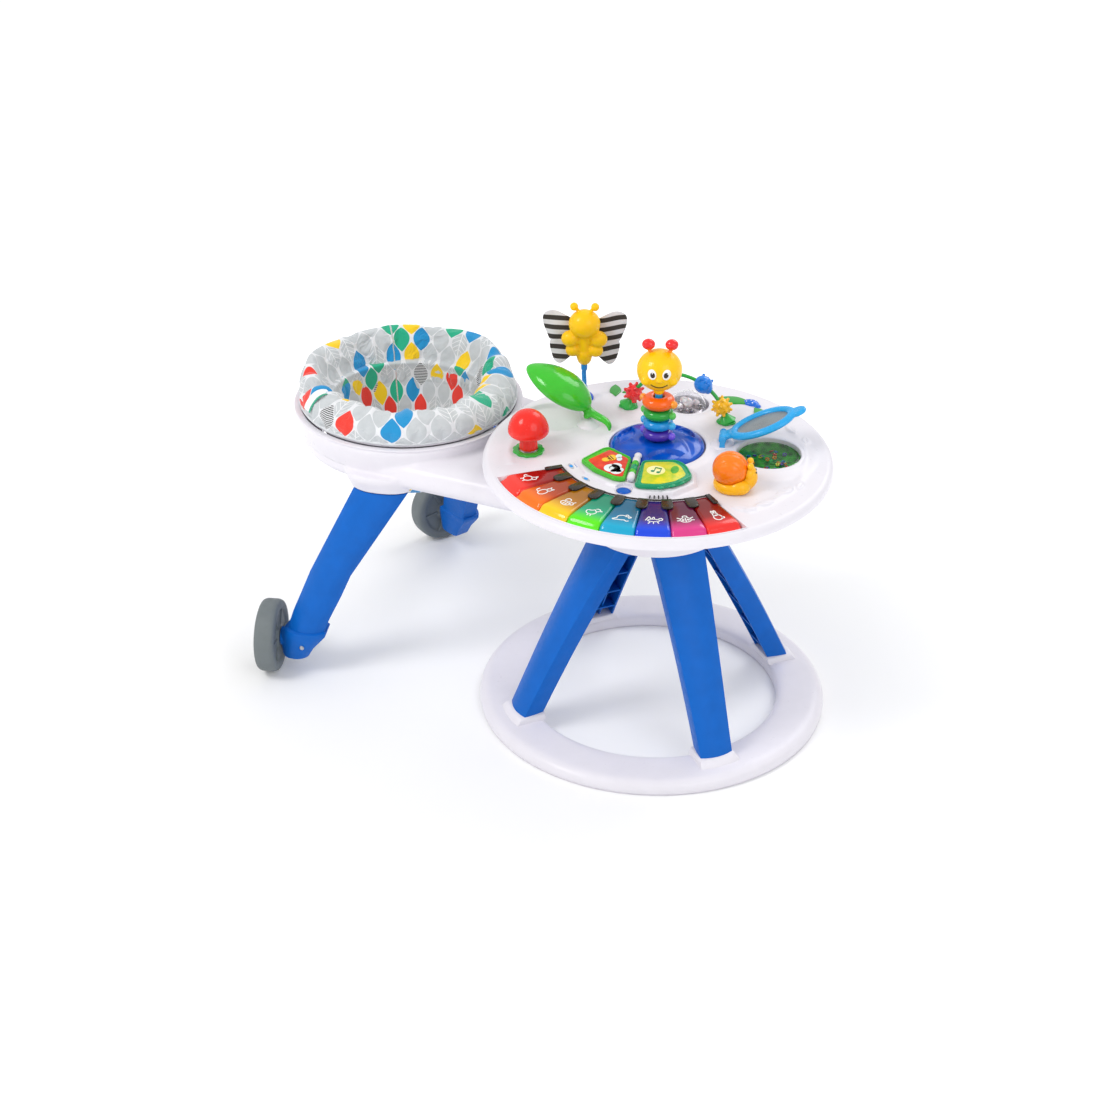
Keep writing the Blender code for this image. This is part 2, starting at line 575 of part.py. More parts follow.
# ------------------------------------------------------------------ centre toy: dish and stacked rings
def centre_toy(table):
    x, y = DISH_CENTRE
    floor = TABLE_TOP_Z - DISH_RECESS
    post = [(0, floor + GAP), (0.016, floor + GAP), (0.016, floor + 0.003), (POST_R, floor + 0.003),
            (POST_R, POST_TOP_Z), (0, POST_TOP_Z)]
    piece("stack_post", turned(post, 20, (x, y), closed=False), "sky", table)
    spin = pivot("dish_axis", (x, y, 0), table)
    bore = 0.0175
    dish = [(bore, floor + 0.004), (bore, floor + 0.001), (DISH_R - 0.004, floor + 0.001), (DISH_R, floor + 0.005),
            (DISH_R - 0.002, floor + 0.010), (0.060, floor + 0.0165), (0.034, floor + 0.020), (0.024, floor + 0.019),
            (POST_R + 0.0006, floor + 0.019), (POST_R + 0.0006, floor + 0.004)]
    plate = piece("spinning_dish", turned(dish, 32), "blue", spin)
    for i in range(3):
        turn = radians(30 + 120 * i)
        groove = ball(0.012, (cos(turn) * 0.052, sin(turn) * 0.052, floor + 0.027), 10, 6, (1, 1, 1))
        cut(plate, groove)
    rings = [("purple", 0.4995, 0.0245), ("sky", 0.5182, 0.0245), ("green", 0.5369, 0.0245),
             ("orange", 0.5578, 0.0265)]
    for colour, height, radius in rings:
        turn = pivot(f"{colour}_ring_axis", (x, y, height), table)
        half = 0.0092 if colour != "orange" else 0.0114
        profile = [(POST_R + 0.0008, -half), (radius * 0.72, -half), (radius * 0.93, -half * 0.6), (radius, 0),
                   (radius * 0.93, half * 0.6), (radius * 0.72, half), (POST_R + 0.0008, half)]
        ring = piece(f"stack_ring_{colour}", turned(profile, 20), colour, turn)
        for side in (-1, 1):
            join(ring, ball(0.0060, (side * (radius + 0.002), 0, 0), 7, 5))
    head_z = POST_TOP_Z + GAP + 0.0375 * 0.93
    turn = pivot("stack_head_axis", (x, y, head_z), table, (0, 0, radians(28)))
    head = piece("stack_head", ball(0.0375, (0, 0, 0), 18, 12, (1, 0.96, 0.93)), "yellow", turn)
    for side in (-1, 1):
        lean = Vector((side * 0.42, 0, 1)).normalized()
        stalk = along(cylinder(0.0028, 0.030, 0.043, steps=8), lean)
        join(head, stalk)
        join(head, ball(0.0100, lean * 0.0475, 10, 6))


# ------------------------------------------------------------------ butterfly, leaf, mushroom
def butterfly(table):
    place = Vector((-0.208, 0.114, TABLE_TOP_Z + GAP))
    cone = [(0, 0), (0.017, 0), (0.016, 0.004), (0.009, 0.009), (0.0055, 0.012), (0.0055, 0.014), (0, 0.014)]
    piece("butterfly_base", moved(turned(cone, 20, closed=False), place), "blue", table)
    sway = pivot("butterfly_axis", (place.x, place.y, place.z + 0.0145), table, (0, 0, radians(28)))
    stem = turned([(0, -0.0002), (0.0018, 0.0001), (0.0042, 0.0022), (0.0042, 0.046), (0, 0.046)], 12, closed=False)
    piece("butterfly_stem", stem, "sky", sway)
    body = piece("butterfly_body", ball(0.0265, (0, -0.004, 0.127), 14, 10), "yellow", sway)
    trunk = turned([(0, 0.0463), (0.009, 0.0463), (0.0135, 0.053), (0.0135, 0.118), (0, 0.118)], 14, closed=False)
    join(body, moved(trunk, (0, -0.0045, 0)))
    for side in (-1, 1):
        join(body, ball(0.0155, (side * 0.0235, -0.006, 0.100), 10, 6, (1, 0.62, 0.9)))
        join(body, ball(0.0120, (side * 0.0190, -0.006, 0.079), 8, 6, (1, 0.62, 0.9)))
        join(body, ball(0.0072, (side * 0.0175, -0.004, 0.1580), 8, 6))
        join(body, along(cylinder(0.0025, 0.020, 0.030, steps=6), (side * 0.5, 0, 1)))
        body.modifiers[-1].object.location = (0, -0.004, 0.127)
    wing = [(-0.010, 0.062), (-0.034, 0.048), (-0.047, 0.050), (-0.058, 0.088), (-0.070, 0.126), (-0.066, 0.140),
            (-0.056, 0.142), (-0.030, 0.128), (-0.010, 0.112)]
    outline = wing + [(-x, z) for x, z in reversed(wing)]
    wings = prism(outline, 0, 0.0016)
    bmesh.ops.rotate(wings, verts=wings.verts, cent=(0, 0, 0), matrix=Matrix.Rotation(radians(90), 3, "X"))
    sheet = piece("butterfly_wings", moved(wings, (0, 0.0145, 0)), "stripes", sway, smooth=False)
    cut(sheet, ball(0.0268, (0, -0.004, 0.127), 18, 12))


def leaf(table):
    """A spoon-shaped flap hinged on a post, resting half raised over its bowl."""
    place = Vector((-0.150, 0.030))
    post = [(0, TABLE_TOP_Z - 0.002), (0.012, TABLE_TOP_Z - 0.002), (0.0115, 0.479), (0.007, 0.484), (0.006, 0.4907),
            (0, 0.4907)]
    join(bpy.data.objects["table_top"], turned(post, 20, (place.x, place.y), closed=False))
    heading = radians(190)
    hinge = pivot("leaf_axis", (place.x, place.y, 0.4965), table, (0, radians(-25), heading))
    length, width = 0.064, 0.037
    blade = ball(1, (0, 0, 0), 20, 10, (length, width, 0.0215))
    flap = piece("leaf_flap", moved(blade, (length + 0.002, 0, 0.018)), "green", hinge)
    cut(flap, moved(ball(1, (0, 0, 0), 20, 10, (length - 0.005, width - 0.004, 0.0300)), (length + 0.003, 0, 0.0055)))
    join(flap, along(cylinder(0.0045, -0.0075, 0.0075, steps=12), (0, 1, 0)))
    join(flap, along(cylinder(0.0042, -0.002, 0.048, steps=10), (-0.045, 0.008, 0.012)))
    join(flap, along(cylinder(0.0050, -0.001, 0.0230, steps=12), (0.55, 0, 1)))


def mushroom(table):
    place = Vector((-0.187, -0.102))
    collar = [(0.0165, TABLE_TOP_Z + GAP), (0.0265, TABLE_TOP_Z + GAP), (0.0265, TABLE_TOP_Z + 0.0025),
              (0.024, TABLE_TOP_Z + 0.004), (0.0165, TABLE_TOP_Z + 0.004)]
    piece("mushroom_collar", turned(collar, 28, (place.x, place.y)), "green", table)
    press = pivot("mushroom_axis", (place.x, place.y, TABLE_TOP_Z), table)
    shape = [(0, 0.0085), (0.0155, 0.0085), (0.0148, 0.021), (0.018, 0.0245), (0.028, 0.0265), (0.0335, 0.036),
             (0.0315, 0.050), (0.024, 0.063), (0.012, 0.0715), (0, 0.0735)]
    piece("mushroom", turned(shape, 24, closed=False), "red", press)


# ------------------------------------------------------------------ bead arch and dome
def bead_arch(table):
    base_z = TABLE_TOP_Z + GAP
    span = ROD_YELLOW_END - ROD_RED_END
    half = span.length / 2
    radius = (half ** 2 + ROD_RISE ** 2) / (2 * ROD_RISE)
    middle = (ROD_RED_END + ROD_YELLOW_END) / 2
    centre = Vector((middle.x, middle.y, TABLE_TOP_Z + ROD_RISE - radius))
    heading = atan2(span.y, span.x)
    frame = pivot("arch_centre", centre, table, (0, 0, heading))
    end = pi / 2 - atan2(base_z + 0.002 - centre.z, half)
    steps, sides = 18, 8
    sections = []
    for i in range(steps + 1):
        t = -end + 2 * end * i / steps
        out = Vector((sin(t), 0, cos(t)))
        spot = out * radius
        sections.append([spot + out * ROD_R * cos(2 * pi * k / sides) + Vector((0, ROD_R * sin(2 * pi * k / sides), 0))
                         for k in range(sides)])
    rod = piece("bead_rod", loft(sections), "green", frame)
    for side in (-1, 1):
        cone = [(0, 0), (0.0165, 0), (0.0145, 0.0025), (0.0075, 0.004), (0, 0.0045)]
        foot = moved(turned(cone, 16, closed=False), (side * half, 0, base_z - centre.z))
        join(rod, foot)
    spiky_ball("red", frame, radius, -radians(62.5))
    spiky_ball("yellow", frame, radius, radians(62.5))
    slide = pivot("bead_axis", (0, 0, 0), frame, (0, radians(30), 0))
    barrel = [(ROD_R + 0.0020, -0.0155), (0.009, -0.0155), (0.0145, -0.008), (0.0155, 0), (0.0145, 0.008),
              (0.009, 0.0155), (ROD_R + 0.0020, 0.0155)]
    shape = moved(along(turned(barrel, 18), (1, 0, 0)), (0, 0, radius))
    piece("blue_bead", shape, "sky", slide)


def spiky_ball(colour, frame, radius, turn):
    """A knobbly ball threaded on the arch, free to spin on it."""
    spot = Vector((sin(turn), 0, cos(turn))) * radius
    spin = pivot(f"{colour}_ball_axis", spot, frame, (0, turn, 0))
    bore = ROD_R + 0.0022
    shape = ball(BALL_R, (0, 0, 0), 12, 8)
    made = piece(f"{colour}_spiky_ball", shape, colour, spin)
    for k in range(6):
        for tilt in (-0.5, 0.5):
            t = 2 * pi * (k + tilt) / 6
            way = Vector((tilt * 0.9, cos(t), sin(t))).normalized()
            join(made, ball(0.0036, way * (BALL_R + 0.0004), 6, 4))
    cut(made, along(cylinder(bore, -0.03, 0.03, steps=12), (1, 0, 0)))


def bubble_dome(table):
    x, y = DOME_CENTRE
    floor = TABLE_TOP_Z - DOME_RECESS
    rise = [(DOME_R - 0.002, floor + GAP)] + [
        ((DOME_R - 0.002) * cos(radians(a)), TABLE_TOP_Z + 0.001 + DOME_RISE * sin(radians(a))) for a in range(0, 85, 20)]
    path = rise + [(0.0, TABLE_TOP_Z + 0.001 + DOME_RISE)]
    inner = [(r - 0.0018, z) for r, z in rise[:2]] + [
        (max(r - 0.0018, 0.001) * 0.98, z - 0.0018) for r, z in rise[2:]] + [(0.0, path[-1][1] - 0.0018)]
    piece("clear_dome", turned(path + list(reversed(inner)), 20, (x, y), closed=True), "clear", table)
    spin = pivot("dome_axis", (x, y, floor), table)
    shape = [(0, 0.0005), (0.026, 0.0005), (0.027, 0.003), (0.016, 0.006), (0.010, 0.011), (0.0125, 0.017),
             (0.010, 0.024), (0, 0.027)]
    piece("dome_spinner", turned(shape, 20, closed=False), "pearl", spin)


# ------------------------------------------------------------------ book, buttons, window, snail, paddle
def book(table):
    length = 0.083
    start = spine_point(0, 0)
    lift = PAGE_TOP_Z
    hinge = pivot("book_axis", (start.x, start.y, lift), table,
                  (0, 0, atan2(SPINE_DIRECTION.y, SPINE_DIRECTION.x)))
    barrel = piece("book_spine", along(cylinder(SPINE_R, 0.0, length, steps=14), (1, 0, 0)), "white_plastic", hinge)
    for x in (0.015, length - 0.012):
        block = [(x, -SPINE_R * 0.8), (x + 0.010, -SPINE_R * 0.8), (x + 0.010, SPINE_R * 0.8), (x, SPINE_R * 0.8)]
        join(barrel, prism(block, TABLE_TOP_Z + GAP - lift, 0))
    left = [(0.011, -0.0085), (-0.019, -0.0515), (-0.012, -0.062), (0.033, -0.090), (0.062, -0.064),
            (0.085, -0.026), (0.085, -0.0085)]
    right = [(0.018, 0.0085), (0.005, 0.065), (0.020, 0.082), (0.055, 0.097), (0.082, 0.080), (0.100, 0.050),
             (0.103, 0.018), (0.098, 0.0085)]
    for name, outline, colour in (("left", left, "green"), ("right", right, "teal")):
        turn = pivot(f"page_{name}_axis", (0, 0, 0), hinge)
        piece(f"book_page_{name}", prism(outline, -PAGE_THICKNESS, -0.0001), colour, turn, smooth=False)


def controls(table):
    button = pivot("sound_button_axis", (*BUTTON_CENTRE, TABLE_TOP_Z), table)
    shape = [(0, -0.0010), (BUTTON_R, -0.0010), (BUTTON_R, 0.0020), (0.0092, 0.0038), (0, 0.0048)]
    piece("sound_button", turned(shape, 20, closed=False), "blue_plastic", button)
    for name, angle, r in (("volume", -129.5, 0.1515), ("mode", -111.0, 0.1515)):
        turn = radians(angle)
        slide = pivot(f"{name}_slider_axis", (cos(turn) * r, sin(turn) * r, TABLE_TOP_Z), table,
                      (0, 0, turn + pi / 2))
        outline = ellipse(0.0045, 0.0030, 12)
        piece(f"{name}_slider", prism(outline, 0.0005, 0.0050), "sky", slide)


def bead_window(table):
    x, y = WINDOW_CENTRE
    top = TABLE_TOP_Z + 0.0012
    cover = [(0, top - 0.002), (WINDOW_R - 0.001, top - 0.002), (WINDOW_R - 0.001, top - 0.0005),
             (WINDOW_R - 0.004, top), (0, top + 0.0015)]
    piece("bead_window", turned(cover, 32, (x, y), closed=False), "clear", table)
    floor = TABLE_TOP_Z - WINDOW_DEPTH + GAP
    tray = [(0, floor), (WINDOW_R - 0.0008, floor), (WINDOW_R - 0.0008, top - 0.0024), (WINDOW_R - 0.0025, top - 0.0024),
            (WINDOW_R - 0.0030, floor + 0.0025), (0, floor + 0.0020)]
    piece("bead_tray", turned(tray, 32, (x, y), closed=False), "green", table)


def snail(table):
    place = Vector((0.158, -0.040))
    spin = pivot("snail_axis", (place.x, place.y, TABLE_TOP_Z), table, (0, 0, radians(28)))
    body = piece("snail_body", turned([(0, 0.0006), (0.025, 0.0006), (0.0300, 0.006), (0.0310, 0.012),
                                       (0.028, 0.0165), (0, 0.0165)], 20, closed=False), "yellow", spin)
    for side in (0, 1):
        join(body, ball(0.0055, (0.0235 + side * 0.006, -0.008 + side * 0.011, 0.0385), 10, 6))
    join(body, moved(turned([(0, 0.006), (0.008, 0.006), (0.0115, 0.012), (0.0115, 0.026), (0.0075, 0.0345), (0, 0.0365)], 14,
                            closed=False), (0.0255, -0.002, 0)))
    shell = piece("snail_shell", ball(0.0290, (-0.0050, 0, 0.0350), 18, 12, (1, 1.02, 0.98)), "orange", spin)
    cut(shell, cylinder(0.05, -0.01, 0.0168, steps=12))
    cut(shell, cylinder(0.0120, 0.01, 0.08, (0.0255, -0.002), 14))


def paddle(table):
    """The oval looking-glass flap that folds down over the bead window."""
    hinge_place = Vector((0.0765, 0.0835))
    post = [(0, TABLE_TOP_Z - 0.002), (0.0085, TABLE_TOP_Z - 0.002), (0.0085, 0.4845), (0, 0.4845)]
    join(bpy.data.objects["table_top"], turned(post, 18, (hinge_place.x, hinge_place.y), closed=False))
    hinge = pivot("paddle_axis", (hinge_place.x, hinge_place.y, 0.491), table, (0, radians(-24), radians(24)))
    centre = 0.070
    outline = [(centre + x, y) for x, y in ellipse(0.058, 0.0405, 32)]
    frame = piece("paddle_frame", prism(outline, -0.0050, 0.0050), "sky", hinge)
    opening = [(centre + x, y) for x, y in ellipse(0.0470, 0.0300, 32)]
    cut(frame, prism(opening, -0.02, 0.02))
    join(frame, along(cylinder(0.0062, -0.009, 0.009, steps=14), (0, 1, 0)))
    tab = [(centre + 0.062 + x, y) for x, y in ellipse(0.0145, 0.0130, 14)]
    join(frame, prism(tab, -0.0040, 0.0040))
    web = [(0, -0.0062), (0.020, -0.0062), (0.020, 0.0062), (0, 0.0062)]
    join(frame, prism(web, -0.0035, 0.0035))
    lens = [(centre + x, y) for x, y in ellipse(0.0465, 0.0295, 32)]
    piece("paddle_lens", prism(lens, -0.0012, 0.0012), "mesh_grey", hinge)


# ------------------------------------------------------------------ build
def build():
    clear_scene()
    table = pivot("table_axis", (TABLE_X, 0, 0))
    base_and_legs(table)
    table_shells(table)
    seat_arm(table)
    seat(table)
    keys(table)
    centre_toy(table)
    butterfly(table)
    leaf(table)
    mushroom(table)
    bead_arch(table)
    bubble_dome(table)
    book(table)
    controls(table)
    bead_window(table)
    snail(table)
    paddle(table)
    bpy.context.view_layer.update()


build()
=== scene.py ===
# Studio scene of the activity table with its walk-around seat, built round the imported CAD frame.

from math import atan2, cos, hypot, pi, radians, sin, sqrt

import bmesh
import bpy
import numpy as np
from mathutils import Matrix, Vector


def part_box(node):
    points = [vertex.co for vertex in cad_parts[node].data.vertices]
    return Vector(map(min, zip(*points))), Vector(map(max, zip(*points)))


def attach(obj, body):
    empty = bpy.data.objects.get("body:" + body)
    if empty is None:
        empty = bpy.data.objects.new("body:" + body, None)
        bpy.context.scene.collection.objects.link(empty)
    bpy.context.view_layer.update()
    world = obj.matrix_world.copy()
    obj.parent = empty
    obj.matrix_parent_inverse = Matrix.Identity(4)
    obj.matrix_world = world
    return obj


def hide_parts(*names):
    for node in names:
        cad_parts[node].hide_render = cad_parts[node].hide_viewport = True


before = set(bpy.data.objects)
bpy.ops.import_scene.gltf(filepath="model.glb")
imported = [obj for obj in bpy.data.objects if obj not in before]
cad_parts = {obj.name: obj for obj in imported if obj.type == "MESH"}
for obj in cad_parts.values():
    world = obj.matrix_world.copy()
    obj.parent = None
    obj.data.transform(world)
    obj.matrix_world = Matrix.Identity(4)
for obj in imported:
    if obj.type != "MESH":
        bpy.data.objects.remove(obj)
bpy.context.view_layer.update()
TABLE_X = sum(c.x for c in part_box("table_top")) / 2  # the table's axis, in the row frame
RNG = np.random.default_rng(7)

# ------------------------------------------------------------------ camera
CAMERA_PLACE = Vector((1.4691 + TABLE_X, -2.7626, 2.1325))
CAMERA_FORWARD = Vector((-0.44694, 0.73647, -0.5078))
lens = bpy.data.cameras.new("camera")
lens.lens = 70.3
lens.sensor_width = 36
lens.clip_end = 40
camera = bpy.data.objects.new("camera", lens)
camera.location = CAMERA_PLACE
camera.rotation_euler = CAMERA_FORWARD.to_track_quat("-Z", "Y").to_euler()
bpy.context.scene.collection.objects.link(camera)
bpy.context.scene.camera = camera


# ------------------------------------------------------------------ mesh helpers
def fillet(points, radius=0.002, steps=3, closed=False):
    """The polyline with its corners rounded."""
    pts = [np.array(p, float) for p in points]
    n = len(pts)
    out = []
    for i, p in enumerate(pts):
        if not closed and i in (0, n - 1):
            out.append(p)
            continue
        a, b = pts[i - 1], pts[(i + 1) % n]
        la, lb = np.linalg.norm(a - p), np.linalg.norm(b - p)
        d = min(radius, la * 0.45, lb * 0.45)
        s, e = p + (a - p) / la * d, p + (b - p) / lb * d
        for k in range(steps + 1):
            t = k / steps
            out.append(s * (1 - t) ** 2 + p * 2 * t * (1 - t) + e * t * t)
    return [tuple(p) for p in out]


def curve_through(points, count, closed=False):
    """A smooth Catmull-Rom curve through the points."""
    p = np.array(points, float)
    n = len(p)
    if closed:
        ext = np.vstack([p[-1], p, p[0], p[1]])
        spans = n
    else:
        ext = np.vstack([2 * p[0] - p[1], p, 2 * p[-1] - p[-2]])
        spans = n - 1
    out = []
    for s in np.linspace(0, spans, count + (1 if closed else 0)):
        if closed and s >= spans:
            break
        i = min(int(s), spans - 1)
        t = s - i
        a, b, c, d = ext[i], ext[i + 1], ext[i + 2], ext[i + 3]
        bend, twist = 2 * a - 5 * b + 4 * c - d, 3 * b - a - 3 * c + d
        out.append(0.5 * (2 * b + (c - a) * t + bend * t ** 2 + twist * t ** 3))
    return np.array(out)


def grid_faces(rows, cols, wrap_cols=True, wrap_rows=False, base=0):
    faces = []
    for i in range(rows if wrap_rows else rows - 1):
        for j in range(cols if wrap_cols else cols - 1):
            a, b = base + i * cols + j, base + i * cols + (j + 1) % cols
            c, d = base + ((i + 1) % rows) * cols + (j + 1) % cols, base + ((i + 1) % rows) * cols + j
            faces.append((a, b, c, d))
    return faces


def lathe(profile, steps=64, at=(0, 0, 0), closed=True):
    """A profile of (radius, height) spun about a vertical axis. Points with no radius become poles."""
    verts, rings = [], []
    for r, z in profile:
        if r < 1e-6:
            rings.append([len(verts)])
            verts.append((0, 0, z))
        else:
            rings.append(list(range(len(verts), len(verts) + steps)))
            verts += [(r * cos(2 * pi * k / steps), r * sin(2 * pi * k / steps), z) for k in range(steps)]
    faces = []
    pairs = list(zip(rings, rings[1:]))
    if closed and len(rings[0]) > 1 and len(rings[-1]) > 1:
        pairs.append((rings[-1], rings[0]))
    for a, b in pairs:
        for k in range(steps):
            m = (k + 1) % steps
            if len(a) == 1 and len(b) == 1:
                continue
            if len(a) == 1:
                faces.append((a[0], b[m], b[k]))
            elif len(b) == 1:
                faces.append((a[k], a[m], b[0]))
            else:
                faces.append((a[k], a[m], b[m], b[k]))
    return np.array(verts, float) + np.array(at, float), faces


def ball(radius, centre=(0, 0, 0), squash=(1, 1, 1), seg=40, rings=24):
    prof = [(radius * sin(pi * i / rings), -radius * cos(pi * i / rings)) for i in range(rings + 1)]
    prof[0], prof[-1] = (0, -radius), (0, radius)
    v, f = lathe(prof, seg, closed=False)
    return v * np.array(squash) + np.array(centre), f


def ellipse(rx, ry, count, cx=0.0):
    """An (x, y) outline of that many points."""
    return [(cx + rx * cos(a), ry * sin(a)) for a in np.linspace(0, 2 * pi, count + 1)[:-1]]


def tube(path, radius, sides=16, caps=True, flat=1.0):
    """A round tube along a path; radius may be one number or one per point."""
    p = np.array(path, float)
    n = len(p)
    rad = np.full(n, radius, float) if np.isscalar(radius) else np.array(radius, float)
    tan = np.gradient(p, axis=0)
    tan /= np.linalg.norm(tan, axis=1)[:, None]
    up = np.array([0, 0, 1.0]) if abs(tan[0][2]) < 0.9 else np.array([1.0, 0, 0])
    side = np.cross(up, tan[0])
    side /= np.linalg.norm(side)
    verts = []
    for i in range(n):
        side = side - tan[i] * side.dot(tan[i])
        side /= np.linalg.norm(side)
        other = np.cross(tan[i], side)
        for k in range(sides):
            a = 2 * pi * k / sides
            verts.append(p[i] + rad[i] * (cos(a) * side + sin(a) * flat * other))
    faces = grid_faces(n, sides)
    if caps:
        faces += [tuple(reversed(range(sides))), tuple(range((n - 1) * sides, n * sides))]
    return np.array(verts), faces


def capsule(start, end, radius, sides=20, end_radius=None):
    """A round-ended rod."""
    a, b = np.array(start, float), np.array(end, float)
    end_radius = radius if end_radius is None else end_radius
    axis = (b - a) / np.linalg.norm(b - a)
    path, rad = [], []
    for i in range(1, 7):
        t = pi / 2 * i / 6
        path.append(a - axis * radius * cos(t)); rad.append(radius * sin(t))
    for i in range(6):
        t = pi / 2 * i / 6
        path.append(b + axis * end_radius * sin(t)); rad.append(end_radius * cos(t))
    return tube(path, rad, sides)


def loft(sections, caps=True):
    """A skin through cross-sections that have the same number of points."""
    n = len(sections[0])
    verts = np.array([p for s in sections for p in s], float)
    faces = grid_faces(len(sections), n)
    if caps:
        faces += [tuple(reversed(range(n))), tuple(range((len(sections) - 1) * n, len(sections) * n))]
    return verts, faces


def slab(outline, low, high, edge=0.0012, steps=3):
    """A flat plate with rounded edges from an (x, y) outline."""
    o = np.array(outline, float)
    n = len(o)
    area = sum(o[i][0] * o[(i + 1) % n][1] - o[(i + 1) % n][0] * o[i][1] for i in range(n))
    if area < 0:
        o = o[::-1]
    def inset(d):
        out = []
        for i in range(n):
            a, p, b = o[i - 1], o[i], o[(i + 1) % n]
            u, v = (p - a) / np.linalg.norm(p - a), (b - p) / np.linalg.norm(b - p)
            nrm = np.array([-(u[1] + v[1]), u[0] + v[0]])
            nrm /= np.linalg.norm(nrm)
            out.append(p + nrm * d / max(0.5, nrm.dot(np.array([-u[1], u[0]]))))
        return out
    turns = [pi / 2 * k / steps for k in range(steps + 1)]
    lower = [[(x, y, low + edge * (1 - sin(t))) for x,
              y in inset(edge * (1 - cos(t)))] for t in reversed(turns)]
    upper = [[(x, y, high - edge * (1 - sin(t))) for x, y in inset(edge * (1 - cos(t)))] for t in turns]
    return loft(lower + upper)


def merge(*parts):
    verts, faces, base = [], [], 0
    for v, f in parts:
        verts.append(np.array(v, float))
        faces += [tuple(i + base for i in face) for face in f]
        base += len(v)
    return np.vstack(verts), faces


def turn(part, axis, angle):
    v, f = part
    m = np.array(Matrix.Rotation(angle, 3, axis))
    return np.array(v) @ m.T, f


def shift(part, offset):
    return np.array(part[0]) + np.array(offset, float), part[1]


def aim(part, direction):
    """Turns a part built along +Z to point along the direction."""
    m = np.array(Vector((0, 0, 1)).rotation_difference(Vector(direction)).to_matrix())
    return np.array(part[0]) @ m.T, part[1]


def to_mesh(name, part):
    mesh = bpy.data.meshes.new(name)
    mesh.from_pydata([tuple(v) for v in part[0]], [], part[1])
    bm = bmesh.new()
    bm.from_mesh(mesh)
    bmesh.ops.recalc_face_normals(bm, faces=bm.faces)
    bm.to_mesh(mesh)
    bm.free()
    return mesh


def fused(part, voxel, smooth=4, factor=0.5):
    """The overlapping shells of a part melted into one skin with soft joins."""
    mesh = to_mesh("fusing", part)
    obj = bpy.data.objects.new("fusing", mesh)
    bpy.context.scene.collection.objects.link(obj)
    remesh = obj.modifiers.new("remesh", "REMESH")
    remesh.mode = "VOXEL"
    remesh.voxel_size = voxel
    if smooth:
        relax = obj.modifiers.new("relax", "SMOOTH")
        relax.iterations = smooth
        relax.factor = factor
    graph = bpy.context.evaluated_depsgraph_get()
    done = bpy.data.meshes.new_from_object(obj.evaluated_get(graph))
    verts = np.zeros(len(done.vertices) * 3)
    done.vertices.foreach_get("co", verts)
    faces = [tuple(p.vertices) for p in done.polygons]
    bpy.data.objects.remove(obj)
    bpy.data.meshes.remove(mesh)
    bpy.data.meshes.remove(done)
    return verts.reshape(-1, 3), faces


def put(name, part, mat, body, replaces=(), sharp=38, uv=None):
    """A finished piece, given in the table frame, riding on its CAD body."""
    mesh = to_mesh(name, (np.array(part[0]) + np.array((TABLE_X, 0, 0)), part[1]))
    if uv is not None:
        layer = mesh.uv_layers.new(name="UVMap")
        loops = np.zeros(len(mesh.loops), int)
        mesh.loops.foreach_get("vertex_index", loops)
        layer.data.foreach_set("uv", np.array(uv)[loops].ravel())
    if sharp:
        mesh.shade_smooth()
        mesh.set_sharp_from_angle(angle=radians(sharp))
    mesh.materials.append(mat)
    obj = bpy.data.objects.new(name, mesh)
    bpy.context.scene.collection.objects.link(obj)
    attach(obj, body)
    if replaces:
        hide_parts(*([replaces] if isinstance(replaces, str) else replaces))
    return obj


